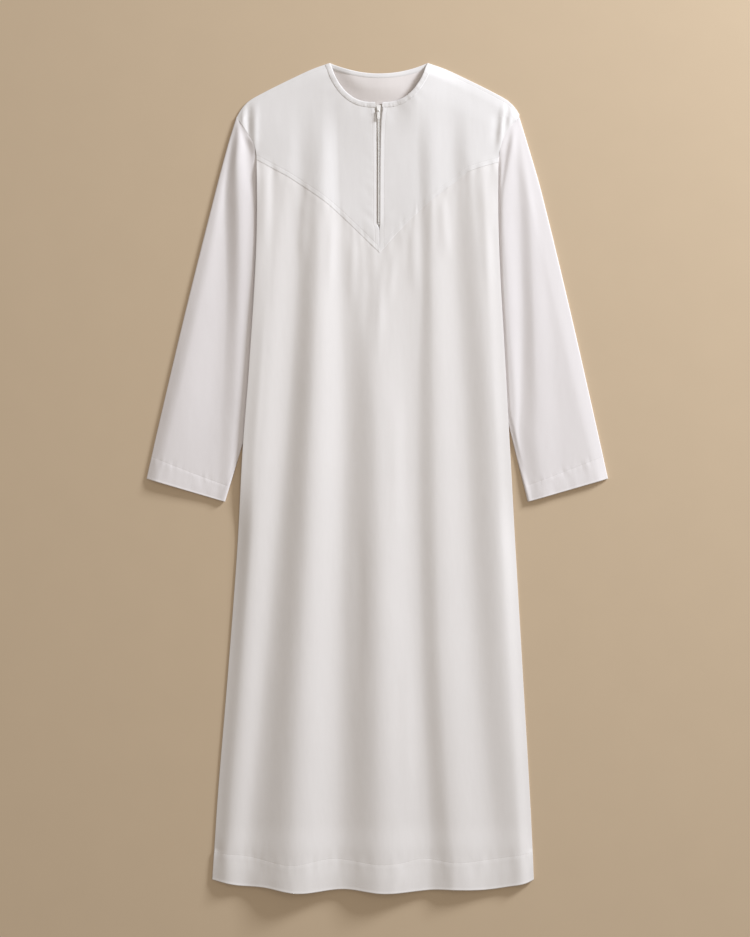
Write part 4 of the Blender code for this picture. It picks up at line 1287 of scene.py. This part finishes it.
def front_neck_point(side, share):
    """Point and outward direction on the front neckline, 0 at the centre front and 1 on the shoulder."""
    step = 0.01
    here = Vector(neck_curve(share))
    run = (Vector(neck_curve(share + step)) - Vector(neck_curve(share - step))).normalized()
    return Vector((NECK_CENTRE_X + side * here.x, here.y)), Vector((side * run.y, -run.x))


def binding_strip(name, place, weave, finish):
    """Strip of binding laid over place(column, row), with its stitching and its weave's steps."""

    def cut(column, row):
        return column * weave[0], row * weave[1]

    def lines(column, row):
        return (BINDING_SECTION[row][0] - BINDING_STITCH,)

    return cloth(name, BINDING_STEPS, len(BINDING_SECTION) - 1, place, cut, finish, lines=lines,
                 wall=BINDING_WALL)


def front_binding(name, side, finish):
    """Neck binding folded over one side of the front neckline."""
    centre = CENTRE_EDGES[-1][side_column(side)]

    def plan(column, row):
        share = column / BINDING_STEPS
        point, out = front_neck_point(side, share)
        square = ease(share, 0.0, BINDING_SQUARE)
        point.x = blend(centre, point.x, square) if share < BINDING_SQUARE else point.x
        out = Vector((0.0, -1.0)).lerp(out, square).normalized()
        return point, out, BINDING_SECTION[row]

    def place(column, row):
        point, out, (away, rise) = plan(column, row)
        spot = point + out * away
        under = point + out * max(away, 0.0)
        cell = Vector((column / BINDING_WAVES[0], row / BINDING_WAVES[1], SEEDS["binding"] + side))
        wave = BINDING_SHARE * cloth_settings().pucker * noise.noise(cell)
        height = front_height(under.x, under.y) + neck_puckers(under.x, under.y)
        return Vector((spot.x, spot.y, height + rise + wave * ease(away, *BINDING_WAVES_START)))

    return binding_strip(name, place, FRONT_WEAVE, finish)


def back_binding(name, finish):
    """Neck binding folded over the back neckline, seen from inside the neck."""
    left, right = NECK_POINT_X[-1], NECK_POINT_X[1]

    def place(column, row):
        x = blend(left, right, column / BINDING_STEPS)
        step = 0.002
        run = Vector((2.0 * step, back_neck_edge(min(right, x + step)) - back_neck_edge(max(left, x - step))))
        run.normalize()
        away, rise = BINDING_SECTION[row]
        rise -= BINDING_SINK * ease(away, *BINDING_FADE)
        spot = Vector((x, back_neck_edge(x))) + Vector((run.y, -run.x)) * away
        return Vector((spot.x, spot.y, back_level(x, spot.y) + cloth_settings().shell + rise))

    return binding_strip(name, place, BACK_WEAVE, finish)


def tape_top(x, y):
    """Upper face of the zip tape, under the yokes, as the frame has it."""
    loft = blend(BODY_LOFT, YOKE_LOFT, ease(y, *YOKE_LOFT_Y))
    full = back_base(x, y) + 2.0 * WALL + GAP + loft + neck_lift(x, y)
    return full - WALL - 2.0 * GAP


TAPE_COLUMNS, TAPE_ROWS = 12, 150


def zip_tape(name, side, finish):
    """Woven tape on one side of the zip, spread apart above the slider's core."""

    def plan(column, row):
        y = blend(ZIP_FOOT, TAPE_TOP, row / TAPE_ROWS)
        inner = GAP * 0.5 + TAPE_SPREAD * ease(y, *SPREAD_Y)
        share = column / TAPE_COLUMNS if side > 0 else 1.0 - column / TAPE_COLUMNS
        return ZIP_X + side * blend(inner, TAPE_WIDTH, share), y

    def place(column, row):
        x, y = plan(column, row)
        return Vector((x, y, tape_top(x, y)))

    return cloth(name, TAPE_COLUMNS, TAPE_ROWS, place, plan, finish, wall=TAPE_SHELL)


def zip_coil(finish):
    """Closed coil: turns of nylon from left and right by turns, over the tapes' inner edges."""
    settings = zip_settings()
    places = []
    top = SLIDER_FOOT - GAP
    count = int((top - CHAIN_FOOT) / settings.coil_pitch)
    for at in range(2 * count):
        side = 1 if at % 2 else -1
        y = CHAIN_FOOT + settings.coil_pitch * (at + 0.5) * 0.5
        x = ZIP_X + side * settings.coil_width * COIL_OUT
        z = tape_top(ZIP_X, y) + GAP + CHAIN_HEIGHT * COIL_RISE
        size = (settings.coil_width * COIL_HALF[0], settings.coil_pitch * COIL_HALF[1],
                CHAIN_HEIGHT * COIL_HALF[2])
        places.append(Matrix.Translation((x, y, z)) @ Matrix.Diagonal((*size, 1.0)))
    for side in (-1, 1):
        head = CHAIN_FOOT - STOP_DROP
        matrix = Matrix.Translation((ZIP_X + side * STOP_OUT, head, tape_top(ZIP_X, head) + STOP_RISE))
        places.append(matrix @ Matrix.Diagonal((*STOP_SIZE, 1.0)))
    return add_object("zip_coil", repeat_shape(places, segments=8, rings=6), finish)


def block(low, high, taper=1.0):
    """Box between two corners, its low-Y end narrowed to the taper."""
    shape = bmesh.new()
    bmesh.ops.create_cube(shape, size=1.0)
    middle = (low[0] + high[0]) * 0.5
    for vertex in shape.verts:
        spot = Vector(blend(low[axis], high[axis], vertex.co[axis] + 0.5) for axis in range(3))
        if vertex.co.y < 0.0:
            spot.x = middle + (spot.x - middle) * taper
        vertex.co = spot
    return shape


def soften(shape, offset):
    """Round every edge of a shape."""
    bmesh.ops.bevel(shape, geom=list(shape.edges), offset=offset, affect="EDGES", segments=3,
                    profile=0.5, material=-1, clamp_overlap=True)
    return shape


def cut_and_keep(part, tools):
    """Apply boolean tools to a part and remove them: (tool, operation) pairs."""
    for tool, operation in tools:
        boolean = part.modifiers.new(tool.name, "BOOLEAN")
        boolean.operation = operation
        boolean.solver = "EXACT"
        boolean.object = tool
    graph = bpy.context.evaluated_depsgraph_get()
    graph.update()
    mesh = bpy.data.meshes.new_from_object(part.evaluated_get(graph))
    part.modifiers.clear()
    old, part.data = part.data, mesh
    bpy.data.meshes.remove(old)
    for tool, operation in tools:
        bpy.data.objects.remove(tool, do_unlink=True)
    return part


def slider_top():
    """Upper face of the slider's top plate."""
    return tape_top(ZIP_X, SLIDER_CORE_FOOT) + GAP + CHAIN_HEIGHT + GAP + PLATE


def pivot_height():
    """Height of the pull's axis."""
    return slider_top() + PIVOT_RISE


BAIL_WIDTH = 0.0014
BAIL_INNER = 0.0009
BAIL_OUTER = 0.0018
# Rounding of the slider's plates and of the pull's faces
PLATE_SOFT = 0.00035
UNDER_SOFT = 0.00030
PULL_SOFT = 0.00018


def zip_slider(finish):
    """Enamelled slider: two softened plates, the core between them, and the bail over the pull's bar."""
    half, top = SLIDER_WIDTH * 0.5, slider_top()
    floor = tape_top(ZIP_X, SLIDER_CORE_FOOT) - TAPE_WALL - SLIDER_ROOM
    taper = SLIDER_MOUTH / SLIDER_WIDTH
    plate = soften(block((ZIP_X - half, SLIDER_FOOT, top - PLATE), (ZIP_X + half, SLIDER_TOP, top), taper),
                   PLATE_SOFT)
    part = add_object("slider_enamel", plate, finish, smooth=False)
    under = soften(block((ZIP_X - half, SLIDER_FOOT, floor - PLATE), (ZIP_X + half, SLIDER_TOP, floor),
                         taper), UNDER_SOFT)
    core = block((ZIP_X - SLIDER_CORE * 0.5, SLIDER_CORE_FOOT, floor - PLATE * 0.5),
                 (ZIP_X + SLIDER_CORE * 0.5, SLIDER_TOP - GAP, top - PLATE * 0.5), 0.5)
    foot = top - PLATE * 0.5
    bail = block((ZIP_X - BAIL_WIDTH * 0.5, PIVOT_Y - BAIL_OUTER, foot),
                 (ZIP_X + BAIL_WIDTH * 0.5, PIVOT_Y + BAIL_OUTER, pivot_height() + BAIL_OUTER))
    crown = [edge for edge in bail.edges
             if all(vertex.co.z > foot + PIVOT_RISE for vertex in edge.verts)
             and abs(edge.verts[0].co.x - edge.verts[1].co.x) > BAIL_WIDTH * 0.5]
    bmesh.ops.bevel(bail, geom=crown, offset=BAIL_OUTER * 0.8, affect="EDGES", segments=6, profile=0.5,
                    material=-1)
    window = block((ZIP_X - BAIL_WIDTH, PIVOT_Y - BAIL_INNER, top - GAP),
                   (ZIP_X + BAIL_WIDTH, PIVOT_Y + BAIL_INNER, pivot_height() + BAIL_INNER))
    bail_part = add_object("bail_tool", bail, finish, smooth=False)
    bail_part = cut_and_keep(bail_part, [(add_object("bail_window", window, finish), "DIFFERENCE")])
    tools = [(add_object("under_tool", under, finish), "UNION"),
             (add_object("core_tool", core, finish), "UNION"), (bail_part, "UNION")]
    return cut_and_keep(part, tools)


def zip_pull(finish):
    """Enamelled pull tab: end bar in the bail, waisted body with a round hole and a rounded end."""
    bar = PULL_WALL * 0.5
    shape = block((-PULL_WIDTH * 0.5, -PULL_LENGTH, -bar), (PULL_WIDTH * 0.5, bar, bar))
    for vertex in shape.verts:
        if vertex.co.y > 0.0:
            vertex.co.x *= PULL_HEAD / PULL_WIDTH
    foot = [edge for edge in shape.edges
            if abs(edge.verts[0].co.z - edge.verts[1].co.z) > bar and edge.verts[0].co.y < -bar]
    bmesh.ops.bevel(shape, geom=foot, offset=PULL_WIDTH * 0.45, affect="EDGES", segments=8, profile=0.5,
                    material=-1)
    rims = [edge for edge in shape.edges if abs(edge.verts[0].co.z - edge.verts[1].co.z) < bar * 0.1]
    bmesh.ops.bevel(shape, geom=rims, offset=PULL_SOFT, affect="EDGES", segments=2, profile=0.5, material=-1)
    bmesh.ops.translate(shape, verts=shape.verts, vec=(ZIP_X, PIVOT_Y, pivot_height()))
    part = add_object("pull_enamel", shape, finish, smooth=False)
    window = block((ZIP_X - PULL_HOLE, PIVOT_Y - PULL_WINDOW, pivot_height() - PULL_WALL),
                   (ZIP_X + PULL_HOLE, PIVOT_Y - bar, pivot_height() + PULL_WALL))
    hole = bmesh.new()
    bmesh.ops.create_cone(hole, cap_ends=True, segments=24, radius1=PULL_HOLE, radius2=PULL_HOLE,
                          depth=PULL_WALL * 3.0,
                          matrix=Matrix.Translation((ZIP_X, PIVOT_Y - PULL_HOLE_Y, pivot_height())))
    tools = [(add_object("pull_window", window, finish), "DIFFERENCE"),
             (add_object("pull_hole", hole, finish), "DIFFERENCE")]
    return cut_and_keep(part, tools)


def repeat_shape(places, segments, rings):
    """One mesh of many small rounded bodies: a ball is copied to each place by its matrix."""
    ball = bmesh.new()
    bmesh.ops.create_uvsphere(ball, u_segments=segments, v_segments=rings, radius=1.0)
    seed = bpy.data.meshes.new("ball")
    ball.to_mesh(seed)
    ball.free()
    shape = bmesh.new()
    for matrix in places:
        start = len(shape.verts)
        shape.from_mesh(seed)
        shape.verts.ensure_lookup_table()
        for at in range(start, len(shape.verts)):
            shape.verts[at].co = matrix @ shape.verts[at].co
    bpy.data.meshes.remove(seed)
    return shape


# Half height of a pressed stitch, as a share of the thread's thickness
THREAD_FLAT = 0.4


def stitch_run(points):
    """Places of a row of thread stitches along a line of points."""
    settings = sewing_settings()
    places = []
    reach = [0.0]
    for before, after in zip(points, points[1:]):
        reach.append(reach[-1] + (after - before).length)
    count = int(reach[-1] / settings.stitch_pitch)
    at = 0
    for number in range(count):
        middle = (number + 0.5) * settings.stitch_pitch
        while at < len(reach) - 2 and reach[at + 1] < middle:
            at += 1
        share = (middle - reach[at]) / max(1e-9, reach[at + 1] - reach[at])
        spot = points[at].lerp(points[at + 1], share)
        run = (points[at + 1] - points[at]).normalized()
        turn = run.to_track_quat("X", "Z").to_matrix().to_4x4()
        size = (settings.stitch_length * 0.5, settings.thread * 0.5, settings.thread * THREAD_FLAT)
        places.append(Matrix.Translation(spot) @ turn @ Matrix.Diagonal((*size, 1.0)))
    return places


def line_points(places, height):
    """Points on a surface over a row of places seen from above."""
    return [Vector((x, y, height(x, y))) for x, y in places]


# Rise of the thread on the binding, and points of the cuff's line left out at each end
THREAD_RISE = 0.0005
CUFF_SKIP = 3
# Ends of the sewn lines: hem, yoke's topstitch beside the point and at the armhole, shoulder, placket
HEM_ENDS = (-0.283, 0.270)
TOPSTITCH_ENDS = (0.0075, 0.2120)
SHOULDER_END_Y = 0.628
PLACKET_ENDS = (0.430, 0.654)
# Ends of the lines on the binding: shares of a front length, and distance from the neck points at the back
BINDING_ENDS = (0.02, 0.98)
BINDING_END = 0.004


def steps_between(low, high, count):
    """Even steps between two ends, both of them taken."""
    return [low] + spread(low, high, count)


def stitch_rows():
    """Every visible sewn line, as points on the cloth."""
    runs = []
    xs = steps_between(*HEM_ENDS, count=160)
    runs.append(line_points([(x, look_up(HEM_STITCH, x)) for x in xs], skirt_height))
    for side in (-1, 1):
        xs = steps_between(POINT_X + side * TOPSTITCH_ENDS[0], side * TOPSTITCH_ENDS[1], count=90)

        def topstitch(x):
            return seam_edge(x) + TOPSTITCH * math.hypot(1.0, seam_slope(x))

        def on_yoke(x, y, side=side):
            return yoke_height(side, x, y, abs(x - centre_edge(side, y)), LAP_EDGE)

        runs.append(line_points([(x, topstitch(x)) for x in xs], on_yoke))
        xs = steps_between(NECK_POINT_X[side], side_edge(side, SHOULDER_END_Y), count=60)
        fall = SHOULDER_STITCH / SHOULDER_COSINE
        runs.append(line_points([(x, shoulder_edge(x) - fall) for x in xs], on_yoke))
        ys = steps_between(*PLACKET_ENDS, count=60)
        places = [(centre_edge(side, y) + side * PLACKET_STITCH, y) for y in ys]
        runs.append(line_points([place for place in places if above_seam(*place) > TOPSTITCH], on_yoke))
        around = [front_neck_point(side, share) for share in steps_between(*BINDING_ENDS, count=90)]
        places = [tuple(point + out * BINDING_STITCH) for point, out in around]
        runs.append(line_points(places, lambda x, y: front_height(x, y) + neck_puckers(x, y) + THREAD_RISE))
        start = BOTTOM_POINTS + ARC_POINTS
        top = sleeve_ring(side, CUFF_DEPTH / SLEEVE_LENGTH)[start:start + TOP_POINTS]
        runs.append(top[CUFF_SKIP:-CUFF_SKIP])
    xs = steps_between(NECK_POINT_X[-1] + BINDING_END, NECK_POINT_X[1] - BINDING_END, count=80)
    runs.append(line_points([(x, back_neck_edge(x) - BINDING_STITCH) for x in xs],
                            lambda x, y: back_level(x, y) + cloth_settings().shell + THREAD_RISE))
    return runs


def mottled_material(name, base, low, kind, sockets, roughness, bump=None, **settings):
    """Material of two near shades mixed by one texture, which may raise a slight bump as well."""
    made, tree, shader = new_material(name)
    place = add_node(tree, "ShaderNodeTexCoord").outputs["Object"]
    pattern = add_node(tree, kind, {"Vector": place, **sockets}, **settings).outputs["Fac"]
    mix = add_node(tree, "ShaderNodeMixRGB", {"Fac": pattern, "Color1": (*low, 1.0),
                                              "Color2": (*base, 1.0)})
    tree.links.new(mix.outputs[0], shader.inputs["Base Color"])
    if bump:
        raised = add_node(tree, "ShaderNodeBump", {"Height": pattern, "Strength": bump[0],
                                                   "Distance": bump[1]})
        tree.links.new(raised.outputs[0], shader.inputs["Normal"])
    shader.inputs["Roughness"].default_value = roughness
    return made


def thread_material():
    """Spun polyester sewing thread: matt, a touch darker than the cloth because light sinks between plies."""
    # Ply twist of about 0.6 mm, shown as light and dark bands along the thread: painted shade of the plies'
    # turns, over a slight bump
    base = tuple(sewing_settings().thread_colour)
    return mottled_material("spun_polyester_thread", base, darker(base, 0.88), "ShaderNodeTexWave",
                            {"Scale": BAND_PERIOD / 0.0006}, roughness=0.75, bump=(0.4, 0.00008),
                            wave_type="BANDS", bands_direction="DIAGONAL")


def enamel_material():
    """Baked white enamel over die-cast zinc: smooth and half-glossy, faintly uneven where it pooled."""
    base = tuple(zip_settings().enamel_colour)
    made = mottled_material("white_baked_enamel", base, darker(base, 0.93), "ShaderNodeTexNoise",
                            {"Scale": 900.0, "Detail": 2.0}, roughness=0.28, bump=(0.15, 0.0001))
    made.node_tree.nodes["Principled BSDF"].inputs["Coat Weight"].default_value = 0.4
    return made


def nylon_material():
    """Extruded nylon coil: milky white monofilament with a soft shine."""
    return mottled_material("white_nylon_monofilament", linear("#F8F6F4"), linear("#EDEBE8"),
                            "ShaderNodeTexNoise", {"Scale": 1200.0, "Detail": 1.0}, roughness=0.42)


def floor_material():
    """Smooth painted board, matt and plain, with only the faintest roller mottle."""
    base = tuple(bpy.context.scene.robe_stage.floor_colour)
    return mottled_material("matt_painted_board", base, darker(base, 0.96), "ShaderNodeTexNoise",
                            {"Scale": 14.0, "Detail": 4.0}, roughness=0.92)


def body_material():
    """Upper fronts' cloth: plain white poplin, pressed matt."""
    return woven_material("pressed_poplin_body", tuple(cloth_settings().body_colour))


def skirt_material():
    """Lower front's cloth, the same poplin: a hair warmer, where the floor throws light back on it."""
    return woven_material("pressed_poplin_skirt", tuple(cloth_settings().skirt_colour))


def back_painted_shade_material():
    """Back's cloth, the same poplin, painted duller and warmer: painted shade and warm bounce light inside
    the neck, where it shows.
    """
    return woven_material("pressed_poplin_back_painted_shade", tuple(cloth_settings().back_painted_shade_colour))


def sleeve_material():
    """Sleeves' cloth, the same poplin in its cooler light."""
    return woven_material("pressed_poplin_sleeve", tuple(cloth_settings().sleeve_colour))


def binding_material():
    """Bias binding cut from the same poplin, doubled and pressed flat, so its weave runs aslant and finer."""
    settings = cloth_settings()
    return woven_material("pressed_bias_binding", tuple(settings.body_colour),
                          spacing=settings.thread_spacing * 0.8, roughness=0.82, sheen=0.15)


def tape_material():
    """Woven polyester zip tape: a ribbed narrow weave, flatter and greyer than the cloth."""
    return woven_material("woven_zip_tape", tuple(zip_settings().tape_colour), spacing=0.0011,
                          roughness=0.8, sheen=0.1)


class ROBE_OT_back(bpy.types.Operator):
    """Lay the back panel on the floor, over the tucked parts of the sleeves"""

    bl_idname = "robe.back_panel"
    bl_label = "Back Panel"

    def execute(self, context):
        """Build the back and set it in place of its solid."""
        part = dress(back_panel(back_painted_shade_material()), BODY, "cloth", "back_panel")
        return {"FINISHED"}


class ROBE_OT_skirt(bpy.types.Operator):
    """Lay the lower front over the back, with its large folds"""

    bl_idname = "robe.front_skirt"
    bl_label = "Front Skirt"

    def execute(self, context):
        """Build the lower front and set it in place of its solid."""
        part = dress(front_skirt(skirt_material()), BODY, "cloth", "front_skirt")
        return {"FINISHED"}


class ROBE_OT_yokes(bpy.types.Operator):
    """Lap the two upper fronts over the lower front"""

    bl_idname = "robe.yokes"
    bl_label = "Yokes"

    def execute(self, context):
        """Build both upper fronts and set them in place of their solids."""
        finish = body_material()
        for name, side in (("yoke_left", -1), ("yoke_right", 1)):
            part = dress(yoke(name + "_cloth", side, finish), BODY, "cloth", name)
        return {"FINISHED"}


class ROBE_OT_sleeves(bpy.types.Operator):
    """Lay the two sleeves flat beside and under the body"""

    bl_idname = "robe.sleeves"
    bl_label = "Sleeves"

    def execute(self, context):
        """Build both sleeves and set them in place of their solids."""
        finish = sleeve_material()
        for name, side in (("sleeve_left", -1), ("sleeve_right", 1)):
            part = dress(sleeve(name + "_cloth", side, finish), BODY, "cloth", name)
        return {"FINISHED"}


class ROBE_OT_binding(bpy.types.Operator):
    """Fold the neck binding over the neckline"""

    bl_idname = "robe.neck_binding"
    bl_label = "Neck Binding"

    def execute(self, context):
        """Build the binding's three lengths and set them in place of their solids."""
        finish = binding_material()
        for hand, side in (("left", -1), ("right", 1)):
            name = "neck_binding_" + hand
            part = dress(front_binding(name + "_cloth", side, finish), BODY, "binding", name)
        part = dress(back_binding("neck_binding_back_cloth", finish), BODY, "binding", "neck_binding_back")
        return {"FINISHED"}


class ROBE_OT_zip(bpy.types.Operator):
    """Set the zip under the centre front: tapes, coil, slider and pull"""

    bl_idname = "robe.zip"
    bl_label = "Zip"

    def execute(self, context):
        """Build the zip's pieces and set them in place of their solids."""
        tape = tape_material()
        for name, side in (("zip_tape_left", -1), ("zip_tape_right", 1)):
            part = dress(zip_tape(name + "_woven", side, tape), BODY, "tape", name)
        dress(zip_coil(nylon_material()), BODY, "coil", "zip_chain")
        enamel = enamel_material()
        dress(zip_slider(enamel), BODY, "enamel", "zip_slider")
        dress(zip_pull(enamel), PULL_BODY, "enamel", "zip_pull")
        return {"FINISHED"}


class ROBE_OT_sewing(bpy.types.Operator):
    """Sew the visible lines: hem, cuffs, yoke, shoulders, placket and binding"""

    bl_idname = "robe.sewing"
    bl_label = "Sewing"

    def execute(self, context):
        """Build every stitch as thread lying on the cloth."""
        places = [matrix for points in stitch_rows() for matrix in stitch_run(points)]
        shape = repeat_shape(places, segments=6, rings=5)
        dress(add_object("sewing_thread", shape, thread_material()), BODY, "cloth")
        return {"FINISHED"}


def area_light(name, power, size, place, tint):
    """Soft square light aimed at the garment's middle."""
    light = bpy.data.lights.new(name, "AREA")
    light.shape = "SQUARE"
    light.size = size
    light.energy = power
    light.color = tint
    lamp = bpy.data.objects.new(name, light)
    bpy.context.collection.objects.link(lamp)
    lamp.location = place
    lamp.rotation_euler = (-Vector(place)).to_track_quat("-Z", "Y").to_euler()


CAMERA_CENTRE = (-0.0040, 0.0180)
VIEW_LENGTH = 1.659
SENSOR = 0.036
CLOTH_LEVEL = 0.010
FLOOR_HALF = 6.0
FLOOR_DROP = 0.0003
# Lights: side, place and tint. The key is low and to the right of the neck, the fill nearly overhead
KEY = (1.01, (3.15, 2.80, 1.42), (0.870, 0.922, 1.0))
FILL = (3.0, (0.3, 0.4, 3.6), (1.0, 0.925, 0.850))
ROOM_TINT = (1.0, 0.930, 0.850)
ROOM_STRENGTH = 0.28


class ROBE_OT_stage(bpy.types.Operator):
    """Set the floor, the soft lights and the camera straight above"""

    bl_idname = "robe.stage"
    bl_label = "Stage"

    def execute(self, context):
        """Make the camera, the floor and the lights."""
        settings = context.scene.robe_stage
        camera = bpy.data.cameras.new("overhead_camera")
        camera.sensor_width = SENSOR * 1000.0
        camera.lens = 1000.0 * SENSOR * (settings.camera_height - CLOTH_LEVEL) / VIEW_LENGTH
        holder = bpy.data.objects.new("overhead_camera", camera)
        bpy.context.collection.objects.link(holder)
        holder.location = (*CAMERA_CENTRE, settings.camera_height)
        context.scene.camera = holder
        shape = bmesh.new()
        bmesh.ops.create_grid(shape, x_segments=1, y_segments=1, size=FLOOR_HALF)
        bmesh.ops.translate(shape, verts=shape.verts, vec=(0.0, 0.0, -FLOOR_DROP))
        add_object("floor_board", shape, floor_material(), smooth=False)
        area_light("key_softbox", settings.key_power, *KEY)
        area_light("overhead_fill", settings.fill_power, *FILL)
        world = bpy.data.worlds.new("studio_room")
        world.use_nodes = True
        background = world.node_tree.nodes["Background"]
        background.inputs["Color"].default_value = (*ROOM_TINT, 1.0)
        background.inputs["Strength"].default_value = ROOM_STRENGTH
        context.scene.world = world
        context.scene.view_settings.view_transform = "Standard"
        return {"FINISHED"}


STEPS = (
    ROBE_OT_stage,
    ROBE_OT_back,
    ROBE_OT_skirt,
    ROBE_OT_yokes,
    ROBE_OT_sleeves,
    ROBE_OT_binding,
    ROBE_OT_zip,
    ROBE_OT_sewing,
)


class ROBE_PT_panel(bpy.types.Panel):
    """Robe's steps and settings"""

    bl_idname = "ROBE_PT_panel"
    bl_label = "Thobe Robe"
    bl_space_type = "VIEW_3D"
    bl_region_type = "UI"
    bl_category = "Robe"

    def draw(self, context):
        """List the settings, then a button for each step."""
        groups = (context.scene.robe_cloth, context.scene.robe_zip, context.scene.robe_sewing,
                  context.scene.robe_stage)
        for group in groups:
            box = self.layout.box()
            for name in group.__annotations__:
                box.prop(group, name)
        for step in STEPS:
            self.layout.operator(step.bl_idname)


SETTINGS = (
    ("robe_cloth", RobeClothSettings),
    ("robe_zip", RobeZipSettings),
    ("robe_sewing", RobeSewingSettings),
    ("robe_stage", RobeStageSettings),
)


def register():
    """Register the settings, the steps and the panel."""
    for name, group in SETTINGS:
        bpy.utils.register_class(group)
        setattr(bpy.types.Scene, name, PointerProperty(type=group))
    for step in STEPS:
        bpy.utils.register_class(step)
    bpy.utils.register_class(ROBE_PT_panel)


def unregister():
    """Undo register."""
    bpy.utils.unregister_class(ROBE_PT_panel)
    for step in reversed(STEPS):
        bpy.utils.unregister_class(step)
    for name, group in reversed(SETTINGS):
        delattr(bpy.types.Scene, name)
        bpy.utils.unregister_class(group)


def main():
    """Build the robe step by step."""
    register()
    for step in STEPS:
        group, call = step.bl_idname.split(".")
        getattr(getattr(bpy.ops, group), call)()


if __name__ == "__main__":
    main()
